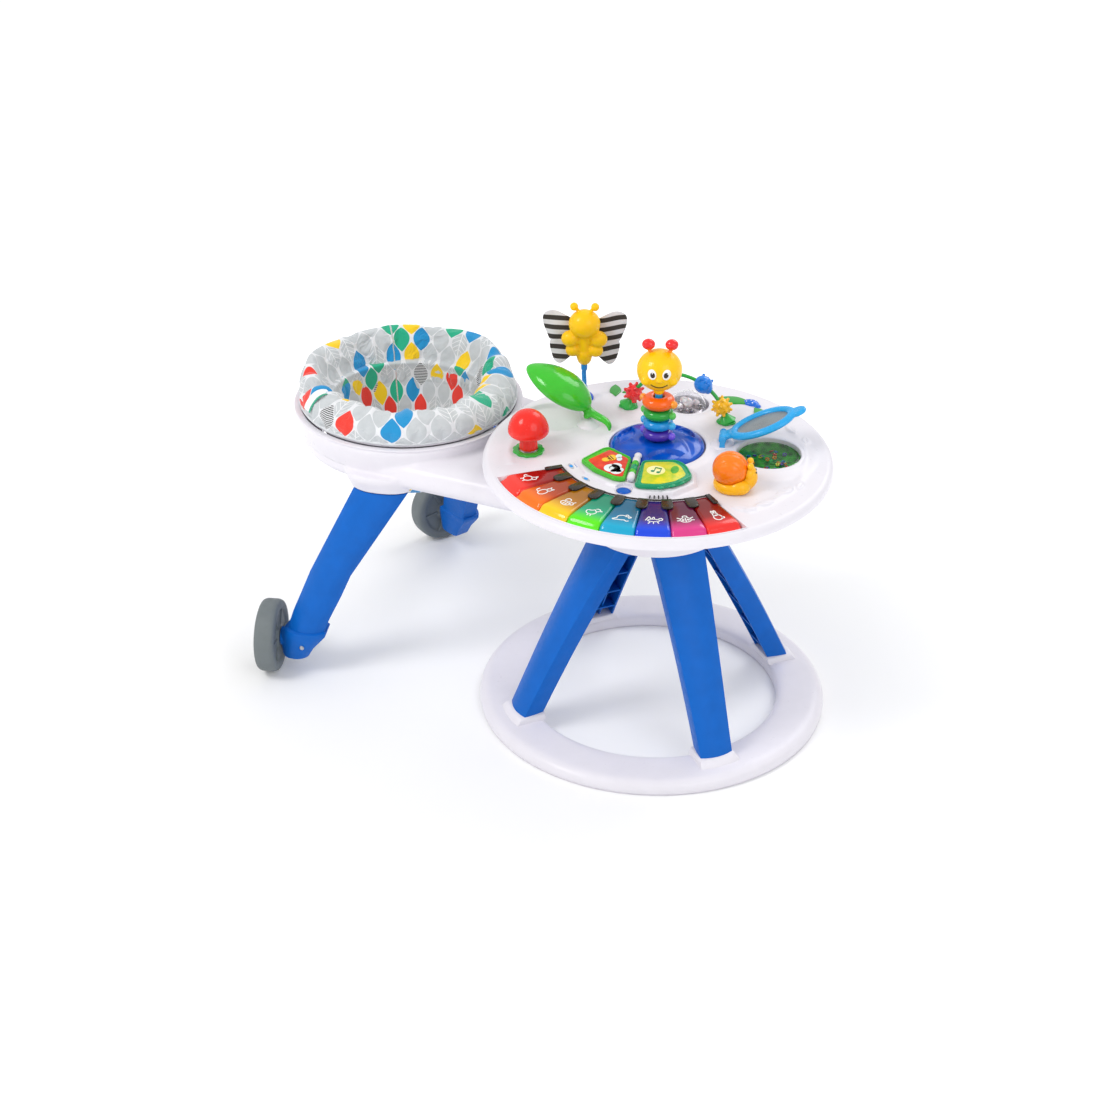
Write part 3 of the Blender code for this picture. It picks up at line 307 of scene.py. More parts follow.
# ------------------------------------------------------------------ material helpers
class Shading:
    """Builds one node material: sockets or plain numbers go in, sockets come out."""

    def __init__(self, name):
        self.mat = bpy.data.materials.new(name)
        self.mat.use_nodes = True
        self.tree = self.mat.node_tree
        self.shader = self.tree.nodes["Principled BSDF"]

    def node(self, kind, **settings):
        made = self.tree.nodes.new(kind)
        for key, value in settings.items():
            setattr(made, key, value)
        return made

    def feed(self, socket, value):
        if isinstance(value, bpy.types.NodeSocket):
            self.tree.links.new(value, socket)
        else:
            socket.default_value = value

    def math(self, operation, a, b=0.0, c=0.0):
        made = self.node("ShaderNodeMath", operation=operation)
        for socket, value in zip(made.inputs, (a, b, c)):
            self.feed(socket, value)
        return made.outputs[0]

    def times(self, a, b):
        return self.math("MULTIPLY", a, b)

    def plus(self, a, b):
        return self.math("ADD", a, b)

    def minus(self, a, b):
        return self.math("SUBTRACT", a, b)

    def over(self, a, b):
        return self.math("DIVIDE", a, b)

    def size(self, a):
        return self.math("ABSOLUTE", a)

    def sine(self, a):
        return self.math("SINE", a)

    def fract(self, a):
        return self.math("FRACT", a)

    def mix(self, factor, a, b):
        made = self.node("ShaderNodeMix", data_type="RGBA")
        self.feed(made.inputs[0], factor)
        self.feed(made.inputs[6], a)
        self.feed(made.inputs[7], b)
        return made.outputs[2]

    def noise(self, scale, detail=2.0, vector=None):
        made = self.node("ShaderNodeTexNoise")
        made.inputs["Scale"].default_value = scale
        made.inputs["Detail"].default_value = detail
        made.inputs["Roughness"].default_value = 0.5
        self.feed(made.inputs["Vector"], vector or self.place())
        return made.outputs["Fac"]

    def place(self):
        return self.node("ShaderNodeTexCoord").outputs["Object"]

    def ramp(self, value, stops, constant=False):
        made = self.node("ShaderNodeValToRGB")
        made.color_ramp.interpolation = "CONSTANT" if constant else "LINEAR"
        points = made.color_ramp.elements
        while len(points) < len(stops):
            points.new(0.5)
        for point, (at, colour) in zip(points, stops):
            point.position = at
            point.color = colour
        self.feed(made.inputs[0], value)
        return made.outputs[0]

    def between(self, value, low, high, to_low=0.0, to_high=1.0):
        made = self.node("ShaderNodeMapRange", interpolation_type="SMOOTHSTEP")
        for socket, v in zip(made.inputs, (value, low, high, to_low, to_high)):
            self.feed(socket, v)
        return made.outputs[0]

    def bump(self, height, strength=0.2, distance=0.001, normal=None):
        made = self.node("ShaderNodeBump")
        made.inputs["Strength"].default_value = strength
        made.inputs["Distance"].default_value = distance
        self.feed(made.inputs["Height"], height)
        if normal is not None:
            self.feed(made.inputs["Normal"], normal)
        return made.outputs["Normal"]

    def set(self, **values):
        for key, value in values.items():
            self.feed(self.shader.inputs[key.replace("_", " ")], value)
        return self.mat


def srgb(text):
    """A #RRGGBB colour as a linear one."""
    out = []
    for i in (1, 3, 5):
        c = int(text[i:i + 2], 16) / 255
        out.append(c / 12.92 if c <= 0.04045 else ((c + 0.055) / 1.055) ** 2.4)
    return (*out, 1.0)


def scaled(colour, k):
    return (*[min(1.0, c * k) for c in colour[:3]], 1.0)


MATS = {}


def plastic(name, colour, rough=0.28, coat=0.15, grain=0.1, vary=0.05, wear=0.06, sub=0.0):
    """Moulded plastic: faint moulding streaks, fine grain, uneven gloss and lighter rubbed patches."""
    if name in MATS:
        return MATS[name]
    s = Shading(name)
    base = srgb(colour)
    streaks = s.noise(38, 3)
    tone = s.ramp(streaks, [(0.3, scaled(base, 1 - vary)), (0.7, scaled(base, 1 + vary))])
    rubbed = s.between(s.noise(9, 5), 0.6, 0.78, 0.0, wear)
    tone = s.mix(rubbed, tone, scaled(base, 1.25))
    gloss = s.between(s.noise(140, 4), 0.2, 0.8, rough * 0.82, rough * 1.22)
    fine = s.noise(2600, 2)
    normal = s.bump(fine, grain, 0.00006)
    normal = s.bump(s.noise(26, 2), 0.1, 0.0012, normal)
    s.set(Base_Color=tone, Roughness=gloss, Normal=normal, Coat_Weight=coat, Coat_Roughness=0.08,
          Specular_IOR_Level=0.22, Subsurface_Weight=sub)
    if sub:
        s.set(Subsurface_Scale=0.004)
    MATS[name] = s.mat
    return s.mat


WHITE = plastic("white_shell", "#E6E3EA", rough=0.32, coat=0.1, grain=0.015, vary=0.012, wear=0.0)
LEG_BLUE = plastic("leg_blue", "#0061BE", rough=0.42, coat=0.0, vary=0.05)
WHEEL = plastic("wheel_grey", "#737A7C", rough=0.55, coat=0.0, vary=0.05, grain=0.3)
SKY = plastic("toy_sky", "#18A8E4")
TEAL = plastic("toy_teal", "#108E67")
BLACK = plastic("toy_black", "#2C241E", rough=0.25, coat=0.4)
INK_WHITE = plastic("print_white", "#F6F6F4", rough=0.35)
# near-black plastic used only for the speaker slots: painted shade standing for the holes
DARK = plastic("dark_plastic", "#1E1F22", rough=0.5)
BUTTON_BLUE = plastic("button_blue", "#0D5CC0", rough=0.3)


def steel():
    s = Shading("steel")
    normal = s.bump(s.noise(900, 3), 0.15, 0.0001)
    gloss = s.between(s.noise(120, 3), 0.2, 0.8, 0.25, 0.42)
    return s.set(Base_Color=srgb("#B9BABD"), Metallic=1.0, Roughness=gloss, Normal=normal)


STEEL = steel()


def seat_fabric():
    """Woven seat cloth printed with staggered rows of upright leaves, laid out along its own UVs in metres."""
    s = Shading("leaf_fabric")
    uv = s.node("ShaderNodeUVMap", uv_map="UVMap").outputs[0]
    split = s.node("ShaderNodeSeparateXYZ")
    s.feed(split.inputs[0], uv)
    u, v = split.outputs[0], split.outputs[1]
    wide, tall, half_w, half_h = LEAF_PITCH, 0.06, 0.015, 0.0232
    tone = s.ramp(s.noise(45, 3, uv), [(0.3, srgb("#E0E2E6")), (0.7, srgb("#ECEDF0"))])
    for k in (0, 1):
        uu = s.plus(s.over(u, wide), 0.5 * k)
        vv = s.plus(s.over(v, tall), 0.5 * k)
        cu, cv = s.math("FLOOR", uu), s.math("FLOOR", vv)
        x = s.size(s.times(s.minus(s.minus(uu, cu), 0.5), wide))
        y = s.times(s.minus(s.minus(vv, cv), 0.5), tall)
        reach = s.math("POWER", s.math("MINIMUM", s.over(s.size(y), half_h), 1.0), 2.0)
        width = s.times(s.minus(1.0, reach), half_w)
        mask = s.between(s.minus(width, x), 0.0, 0.0007)
        cell = s.node("ShaderNodeCombineXYZ")
        s.feed(cell.inputs[0], s.math("WRAP", cu, LEAF_COLUMNS, 0.0))
        s.feed(cell.inputs[1], cv)
        s.feed(cell.inputs[2], k * 7.0 + 3.0)
        dice = s.node("ShaderNodeTexWhiteNoise", noise_dimensions="3D")
        s.feed(dice.inputs["Vector"], cell.outputs[0])
        pick = dice.outputs["Value"]
        other = s.node("ShaderNodeSeparateColor")
        s.feed(other.inputs[0], dice.outputs["Color"])
        shade = other.outputs[1]
        grey = srgb("#C4C9CC")
        colour = s.ramp(pick, [(0.0, grey), (0.64, srgb("#ED3A2C")), (0.73, srgb("#1DAE86")),
                               (0.82, srgb("#1A93CF")),
                               (0.91, srgb("#FBD115")), (0.97, srgb("#34383B"))], constant=True)
        is_grey = s.math("LESS_THAN", pick, 0.64)
        is_dark = s.math("GREATER_THAN", pick, 0.97)
        lighter = s.between(s.noise(70, 3, uv), 0.35, 0.65, 0.0, 0.35)
        colour = s.mix(s.times(is_grey, lighter), colour, srgb("#D6D9DC"))
        stripes = s.math("GREATER_THAN", s.fract(s.over(y, 0.0032)), 0.5)
        colour = s.mix(s.times(is_dark, stripes), colour, srgb("#E4E5E7"))
        # veins on some of the leaves: a midrib and slanting side veins
        veined = s.times(is_grey, s.math("GREATER_THAN", shade, 0.62))
        rib = s.math("LESS_THAN", x, 0.0007)
        slant = s.fract(s.over(s.minus(y, s.times(x, 0.8)), 0.0085))
        side = s.times(s.math("LESS_THAN", slant, 0.14), s.math("LESS_THAN", s.size(y), half_h * 0.62))
        vein = s.times(veined, s.math("MAXIMUM", rib, side))
        colour = s.mix(vein, colour, srgb("#EEEFF1"))
        tone = s.mix(mask, tone, colour)
    weave_u = s.sine(s.times(u, 2 * pi / 0.00085))
    weave_v = s.sine(s.times(v, 2 * pi / 0.00085))
    weave = s.times(weave_u, weave_v)
    tone = s.mix(s.between(weave, -1.0, 1.0, 0.0, 0.05), tone, (0.25, 0.25, 0.27, 1))
    normal = s.bump(weave, 0.35, 0.00022)
    normal = s.bump(s.noise(55, 4, uv), 0.25, 0.0025, normal)
    return s.set(Base_Color=tone, Roughness=0.86, Normal=normal, Sheen_Weight=0.35, Sheen_Roughness=0.5,
                 Specular_IOR_Level=0.25)


SEAT_UV_R = 0.16
LEAF_COLUMNS = 28
LEAF_PITCH = 2 * pi * SEAT_UV_R / LEAF_COLUMNS
FABRIC = seat_fabric()


def striped_cloth():
    """Black and white printed wing cloth, its wavy stripes running across the wings."""
    s = Shading("striped_cloth")
    uv = s.node("ShaderNodeUVMap", uv_map="UVMap").outputs[0]
    split = s.node("ShaderNodeSeparateXYZ")
    s.feed(split.inputs[0], uv)
    u, v = split.outputs[0], split.outputs[1]
    wave = s.times(s.sine(s.times(u, 70.0)), 0.0016)
    slope = s.times(s.size(u), 0.12)
    band = s.fract(s.over(s.plus(s.minus(v, slope), wave), 0.0178))
    dark = s.between(s.size(s.minus(band, 0.5)), 0.23, 0.27)
    tone = s.mix(dark, srgb("#DCDADF"), srgb("#2F2824"))
    weave = s.times(s.sine(s.times(u, 2 * pi / 0.0008)),
                   s.sine(s.times(v, 2 * pi / 0.0008)))
    return s.set(Base_Color=tone, Roughness=0.8, Normal=s.bump(weave, 0.3, 0.0002), Sheen_Weight=0.3)


STRIPES = striped_cloth()


# ------------------------------------------------------------------ studio
def studio():
    size = 9.0
    mesh = bpy.data.meshes.new("floor")
    mesh.from_pydata([(-size, -size, 0), (size, -size, 0), (size, size, 0), (-size, size, 0)], [],
                     [(0, 1, 2, 3)])
    floor = bpy.data.objects.new("floor", mesh)
    floor.location.z = -0.0004
    bpy.context.scene.collection.objects.link(floor)
    s = Shading("studio_floor")
    away = s.node("ShaderNodeVectorMath", operation="LENGTH")
    s.feed(away.inputs[0], s.place())
    # the floor's emission is painted light: it rises with distance from the table, lifting the far floor to
    # white while the shadows near the table stay
    mesh.materials.append(s.set(Base_Color=(0.93, 0.93, 0.935, 1), Roughness=0.75, Specular_IOR_Level=0.15,
                                Emission_Color=(0.97, 0.98, 1.0, 1),
                                Emission_Strength=s.between(away.outputs["Value"], 0.45, 1.15, 0.03, 0.3)))
    world = bpy.data.worlds.new("studio")
    world.use_nodes = True
    world.node_tree.nodes["Background"].inputs[0].default_value = (1.0, 1.0, 1.0, 1)
    world.node_tree.nodes["Background"].inputs[1].default_value = 0.72
    bpy.context.scene.world = world
    for name, place, size, power, tint in (
            ("key", (-1.6, -2.4, 3.4), 1.6, 62, (1.0, 0.99, 0.97)),
            ("fill", (2.8, -1.2, 2.2), 2.2, 22, (0.96, 0.98, 1.0)),
            ("back", (0.4, 2.8, 2.8), 2.2, 34, (1.0, 1.0, 1.0))):
        light = bpy.data.lights.new(name, "AREA")
        light.shape = "DISK"
        light.size = size
        light.energy = power
        light.color = tint
        lamp = bpy.data.objects.new(name, light)
        lamp.location = place
        lamp.rotation_euler = (Vector((0.05, 0, 0.3)) - Vector(place)).to_track_quat("-Z", "Y").to_euler()
        bpy.context.scene.collection.objects.link(lamp)
    bpy.context.scene.view_settings.view_transform = "Standard"


studio()


# ------------------------------------------------------------------ places read off the frame
def centre_of(node):
    low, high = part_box(node)
    return np.array(((low.x + high.x) / 2 - TABLE_X, (low.y + high.y) / 2, (low.z + high.z) / 2))


TOP = 0.475
KEY_START, KEY_END, KEY_COUNT = radians(-131.2), radians(-31.8), 8
KEY_PITCH = (KEY_END - KEY_START) / KEY_COUNT
DISH = (*centre_of("stack_post")[:2], 0.0)
WINDOW = (*centre_of("bead_tray")[:2], 0.0)
DOME = (*centre_of("clear_dome")[:2], 0.0)
LEAF_BOWL = (-0.213, 0.018, 0.0)
MUSHROOM = (*centre_of("mushroom_collar")[:2], 0.0)
BUTTON = (*centre_of("sound_button")[:2], 0.0)
SNAIL = (0.158, -0.04, 0.0)
SPINE_START = np.array((-0.0115, -0.046))
SPINE_DIR = np.array((0.352, -0.936)) / hypot(0.352, 0.936)
SPINE_SIDE = np.array((-SPINE_DIR[1], SPINE_DIR[0]))
SPINE_Z = 0.4905
PAGE_LEFT = [(0.011, -0.0085), (-0.019, -0.0515), (-0.012, -0.062), (0.033, -0.09), (0.062, -0.064),
             (0.085, -0.026), (0.085, -0.0085)]
PAGE_RIGHT = [(0.018, 0.0085), (0.005, 0.065), (0.02, 0.082), (0.055, 0.097), (0.082, 0.08), (0.1, 0.05),
              (0.103, 0.018), (0.098, 0.0085)]


def book_point(along, across):
    return SPINE_START + SPINE_DIR * along + SPINE_SIDE * across


def soft_step(distance, width):
    """1 inside (negative distance), 0 outside, with a smooth edge of that width."""
    t = np.clip(0.5 - distance / width, 0, 1)
    return t * t * (3 - 2 * t)


def polygon_distance(x, y, outline):
    """Signed distance to a polygon: negative inside."""
    o = np.array(outline)
    best = np.full(x.shape, 1e9)
    inside = np.zeros(x.shape, bool)
    for a, b in zip(o, np.roll(o, -1, axis=0)):
        ab = b - a
        t = np.clip(((x - a[0]) * ab[0] + (y - a[1]) * ab[1]) / ab.dot(ab), 0, 1)
        best = np.minimum(best, np.hypot(x - a[0] - ab[0] * t, y - a[1] - ab[1] * t))
        crossing = ((a[1] > y) != (b[1] > y)) & (x < (b[0] - a[0]) * (y - a[1]) / (b[1] - a[1] + 1e-12) + a[0])
        inside ^= crossing
    return np.where(inside, -best, best)


def leaf_distance(x, y, cx, cy, angle, length, width):
    """Roughly the distance outside a pointed leaf."""
    u = (x - cx) * cos(angle) + (y - cy) * sin(angle)
    v = -(x - cx) * sin(angle) + (y - cy) * cos(angle)
    return np.abs(v) - width * (1 - np.clip(np.abs(u) / length, 0, 1.5) ** 2.0), u, v


PLINTH = [tuple(book_point(a, c)) for a, c in
          [(0.02, -0.1), (0.062, -0.08), (0.09, -0.04), (0.104, -0.006), (0.112, 0.03), (0.104, 0.072),
           (0.066, 0.104), (0.02, 0.096), (-0.002, 0.076), (0.004, 0.03), (0.004, -0.03), (-0.024, -0.052),
           (-0.022, -0.07)]]
RIM_R = 0.2775
EMBOSSED = [(0.236, -0.01, 62, 0.017, 0.0075), (0.249, 0.02, 100, 0.014, 0.006),
            (0.205, -0.092, 20, 0.02, 0.0085),
            (0.226, -0.062, 55, 0.016, 0.007), (-0.225, -0.06, 60, 0.016, 0.007),
            (-0.243, -0.03, 95, 0.014, 0.006),
            (0.15, 0.19, 140, 0.02, 0.008), (0.19, 0.165, 120, 0.016, 0.007)]


def table_height(x, y):
    """Height of the moulded top above its flat level."""
    r = np.hypot(x, y)
    ang = np.arctan2(y, x)
    h = 0.0006 * np.sin(x * 21 + 1.0) * np.cos(y * 17 + 0.4) + 0.0004 * np.sin(x * 43 - y * 31)
    h = h * soft_step(r - 0.25, 0.03)
    h += 0.0062 * soft_step(np.hypot(x - WINDOW[0], y - WINDOW[1]) - 0.072, 0.028)
    h += 0.003 * soft_step(np.hypot(x - DOME[0], y - DOME[1]) - 0.052, 0.02)
    h += 0.0045 * soft_step(np.hypot(x - LEAF_BOWL[0] + 0.004, y - LEAF_BOWL[1]) - 0.058, 0.02)
    h += 0.002 * soft_step(np.hypot(x - DISH[0], y - DISH[1]) - 0.094, 0.016)
    strip = np.maximum(np.maximum(r - 0.16, 0.131 - r), np.abs(ang - radians(-100)) * r - 0.086)
    h = np.maximum(h, 0.0034 * soft_step(strip, 0.01))
    plinth = polygon_distance(x, y, PLINTH)
    plinth = np.maximum(plinth, 0.086 - np.hypot(x - DISH[0], y - DISH[1]))
    h = np.maximum(h, 0.0085 * soft_step(plinth + 0.001, 0.007))
    for cx, cy, angle, length, width in EMBOSSED:
        d, u, v = leaf_distance(x, y, cx, cy, radians(angle), length, width)
        body = soft_step(d, 0.003)
        vein = np.exp(-(v / 0.0009) ** 2) * (np.abs(u) < length * 0.85)
        h += 0.002 * body - 0.001 * body * vein
    slot = np.abs(r - 0.142) + np.clip(np.abs(ang - radians(-62)) * r - 0.007, 0, 1)
    h -= 0.0016 * soft_step(slot - 0.0022, 0.0016)
    ridge = np.abs(r - 0.234 - 0.01 * np.sin(ang * 2.0 + 0.7))
    clear_of_keys = (ang > radians(-25)) | (ang < radians(-140)) | (ang > radians(20))
    h += 0.0018 * np.exp(-(ridge / 0.007) ** 2) * clear_of_keys
    for centre, radius, depth in ((DISH, 0.085, 0.007), (WINDOW, 0.0575, 0.02), (DOME, 0.041, 0.01),
                                  (BUTTON, 0.0135, 0.006)):
        d = np.hypot(x - centre[0], y - centre[1]) - radius
        s = soft_step(d, 0.002)
        h = h * (1 - s) - depth * s
    d = np.hypot(x - LEAF_BOWL[0], y - LEAF_BOWL[1])
    s = soft_step(d - 0.0475, 0.005)
    h = h * (1 - s) + s * (-0.0066 + 0.004 * np.clip(d / 0.045, 0, 1) ** 3)
    for node in ("mushroom_collar", "butterfly_base"):
        c = centre_of(node)
        s = soft_step(np.hypot(x - c[0], y - c[1]) - 0.029, 0.01)
        h = h * (1 - s)
    for c in ((-0.126, 0.126), (0.044, 0.16), (SNAIL[0], SNAIL[1]), (-0.15, 0.03), (0.0765, 0.0835)):
        s = soft_step(np.hypot(x - c[0], y - c[1]) - (0.036 if c[0] == SNAIL[0] else 0.019), 0.008)
        h = h * (1 - s)
    bed = np.maximum(np.maximum(r - 0.2757, 0.1636 - r),
                     np.maximum(KEY_START - ang, ang - KEY_END) * r - 0.0024)
    s = soft_step(bed, 0.0012)
    return h * (1 - s) - 0.0143 * s


def table_top():
    steps = 900
    radii = np.unique(np.round(np.concatenate([
        np.linspace(0.002, RIM_R, 172), (0.1629, 0.1636, 0.1643, 0.2748, 0.2757, 0.2764)]), 5))
    angles = -pi + 2 * pi * (np.arange(steps) + 0.5) / steps
    rr, aa = np.meshgrid(radii, angles, indexing="ij")
    x, y = rr * np.cos(aa), rr * np.sin(aa)
    z = TOP + table_height(x, y)
    rows = [np.stack([x[i], y[i], z[i]], 1) for i in range(len(radii))]
    edge = [(RIM_R + 0.0025, TOP - 0.0003), (0.2825, TOP - 0.0014), (0.285, TOP - 0.0031),
            (0.287, TOP - 0.0055),
            (0.2884, TOP - 0.0088), (0.289, TOP - 0.0124), (0.2887, TOP - 0.0156), (0.2872, TOP - 0.0163),
            (0.286, TOP - 0.015), (0.2856, TOP - 0.011)]
    for r, level in edge:
        rows.append(np.stack([r * np.cos(angles), r * np.sin(angles), np.full(steps, level)], 1))
    verts = np.vstack([[(0, 0, TOP + float(table_height(np.array([0.0]), np.array([0.0]))[0]))]] + rows)
    faces = [(0, 1 + j, 1 + (j + 1) % steps) for j in range(steps)]
    faces += grid_faces(len(rows), steps, base=1)
    put("table_top_shell", (verts, faces), WHITE, "table", "table_top", sharp=50)


def trim(name, at, inner, floor, crest, outer):
    """A raised white lip round a round pocket, with its wall going down inside."""
    prof = fillet([(inner, TOP - floor), (inner, TOP + crest - 0.0008), (inner + 0.003, TOP + crest),
                   ((inner + outer) / 2, TOP + crest * 0.85), (outer, TOP - 0.0015),
                   (inner + 0.001, TOP - floor)], 0.003, 5)
    put(name, lathe(prof, 120, (at[0], at[1], 0)), WHITE, "table", sharp=60)


def table_body():
    table_top()
    trim("dish_well_lip", DISH, 0.0803, 0.005, 0.003, 0.0935)
    trim("window_lip", WINDOW, 0.0532, 0.014, 0.0078, 0.07)
    trim("dome_lip", DOME, 0.0366, 0.008, 0.0042, 0.048)
    trim("button_lip", BUTTON, 0.0122, 0.0045, 0.004, 0.0165)
    under = fillet([(0.03, 0.4278), (0.03, 0.4302), (0.221, 0.4302), (0.261, 0.4487), (0.284, 0.461),
                    (0.2848, 0.4586), (0.262, 0.4462), (0.222, 0.4278)], 0.006, 4, closed=True)
    put("underside_shell", lathe(under, 160), WHITE, "table", "table_underside")
    for k in range(8):  # screw wells moulded into the underside
        a = radians(22.5 + 45 * k)
        well = fillet([(0.0035, 0.4272), (0.0075, 0.4272), (0.0075, 0.4285), (0.0035, 0.4285)], 0.0004, 2,
                      closed=True)
        put(f"screw_well_{k + 1}", lathe(well, 24, (0.205 * cos(a), 0.205 * sin(a), 0.0008)), WHITE, "table")
    hub = fillet([(0.02, 0.3453), (0.118, 0.3453), (0.118, 0.368), (0.1, 0.3915), (0.0755, 0.3915),
                  (0.0755, 0.4275),
                  (0.0705, 0.4275), (0.0705, 0.387), (0.0965, 0.3862), (0.1135, 0.366), (0.1135, 0.3495),
                  (0.02, 0.3495)],
                 0.0022, 3, closed=True)
    put("hub_spool", lathe(hub, 128), WHITE, "table", "leg_hub")
    ring = [(0.218, 0.0035), (0.2195, 0.0008), (0.224, 0.0002), (0.292, 0.0002), (0.2975, 0.001),
            (0.2996, 0.0042),
            (0.3, 0.0085), (0.2992, 0.0128), (0.2962, 0.0178), (0.2905, 0.0218), (0.283, 0.0238),
            (0.27, 0.0243),
            (0.245, 0.0243), (0.23, 0.0238), (0.2225, 0.0218), (0.219, 0.018), (0.218, 0.013)]
    put("base_ring_moulding", lathe([tuple(p) for p in curve_through(ring, 80, closed=True)], 200), WHITE,
        "table",
        "base_ring")


table_body()


# ------------------------------------------------------------------ keys
# each key's tint as a shaded and a lit copy: painted shade toward the inner end, painted light toward the lip
KEY_TINTS_SHADED_AND_LIT = [("#A51410", "#F2352A"), ("#B8420C", "#F4720F"), ("#B9760A", "#F7C516"), ("#0FA078", "#5BE012"),
             ("#0A6F96", "#12A3C8"), ("#2A1E7C", "#1746D8"), ("#6A1440", "#D63C86"), ("#8E1014", "#E8302C")]


def key_material(number, dark, bright):
    """Glossy tinted key, darkened by painted shade at its inner half, brightened by painted light toward the
    lip, with a faint painted glow.
    """
    s = Shading(f"key_{number}_glossy")
    split = s.node("ShaderNodeSeparateXYZ")
    s.feed(split.inputs[0], s.place())
    x = s.minus(split.outputs[0], TABLE_X)
    r = s.math("SQRT", s.plus(s.times(x, x), s.times(split.outputs[1], split.outputs[1])))
    # painted shade and light: the tint darkens toward the inner end and brightens toward the lip
    wobble = s.times(s.minus(s.noise(30, 2), 0.5), 0.006)
    painted_shade_to_light = s.between(s.plus(r, wobble), 0.196, 0.272)
    deep, light = srgb(dark), srgb(bright)
    tone = s.ramp(painted_shade_to_light, [(0.0, scaled(deep, 0.7)), (0.38, deep),
                         (0.62, tuple((a + b) / 2 for a, b in zip(deep, light))),
                         (0.86, light), (1.0, scaled(light, 1.1))])
    gloss = s.between(s.noise(120, 3), 0.2, 0.8, 0.1, 0.17)
    normal = s.bump(s.noise(60, 2), 0.06, 0.001)
    normal = s.bump(s.noise(2400, 2), 0.06, 0.00005, normal)
    # the faint emission in the key's own tint is a painted glow
    return s.set(Base_Color=tone, Roughness=gloss, Normal=normal, Coat_Weight=0.3, Coat_Roughness=0.05,
                 Specular_IOR_Level=0.3,
                 Emission_Color=tone, Emission_Strength=0.04)


def polar(r, a, z=0.0):
    return np.array((r * cos(a), r * sin(a), z))


def key_blade(index):
    """A domed key with a stepped-down lip, its corners and edges rounded."""
    gap = 0.0006
    mid = KEY_START + KEY_PITCH * (index + 0.5)
    across = 13
    radial = [0.1662, 0.1668, 0.168, 0.17, 0.185, 0.205, 0.225, 0.243, 0.2555, 0.259, 0.2612, 0.264, 0.268,
              0.2712,
              0.2728, 0.2734]
    heights = [0.4745, 0.4776, 0.4789, 0.4794, 0.4796, 0.4797, 0.4797, 0.4796, 0.4789, 0.4774, 0.4744, 0.4718,
               0.4708,
               0.4698, 0.4684, 0.4668]
    rows = []
    for r, z in zip(radial, heights):
        half = KEY_PITCH * 0.5 * r - gap
        corner = 0.004 * max(0.0,
                             1 - (0.2735 - r) / 0.006) ** 2 + 0.003 * max(0.0, 1 - (r - 0.166) / 0.004) ** 2
        half -= corner
        row = []
        for k in range(across):
            t = -1 + 2 * k / (across - 1)
            s = np.sign(t) * abs(t) ** 0.55
            drop = 0.0026 * max(0.0, (abs(s) - 0.86) / 0.14) ** 2.2 + 0.0005 * s * s
            a = mid + s * half / r
            row.append(polar(r, a, z - drop))
        rows.append(row)
    top = np.array(rows)
    low = top.copy()
    low[:, :, 2] = 0.4656
    n, m = len(rows), across
    verts = np.vstack([top.reshape(-1, 3), low.reshape(-1, 3)])
    faces = grid_faces(n, m, wrap_cols=False)
    faces += [tuple(reversed(f)) for f in grid_faces(n, m, wrap_cols=False, base=n * m)]
    ring = [i * m for i in range(n)] + [(n - 1) * m + j for j in range(1, m)] + \
           [i * m + m - 1 for i in range(n - 2, -1, -1)] + [j for j in range(m - 2, 0, -1)]
    for a, b in zip(ring, ring[1:] + ring[:1]):
        faces.append((a, b, b + n * m, a + n * m))
    return verts, faces


def pen(path, width, z0, height=0.0005):
    """A thin raised printed line along an (x, y) path."""
    p = np.array(path, float)
    tan = np.gradient(p, axis=0)
    tan /= np.linalg.norm(tan, axis=1)[:, None] + 1e-12
    nrm = np.stack([-tan[:, 1], tan[:, 0]], 1)
    rows = []
    for q, k in zip(p, nrm):
        a, b = q + k * width / 2, q - k * width / 2
        rows.append([(*a, z0), (*a, z0 + height), (*b, z0 + height), (*b, z0)])
    return loft(rows)


def arc(cx, cy, r, start, end, count=20, ry=None):
    return [(cx + r * cos(radians(start + (end - start) * i / (count - 1))),
             cy + (ry or r) * sin(radians(start + (end - start) * i / (count - 1)))) for i in range(count)]


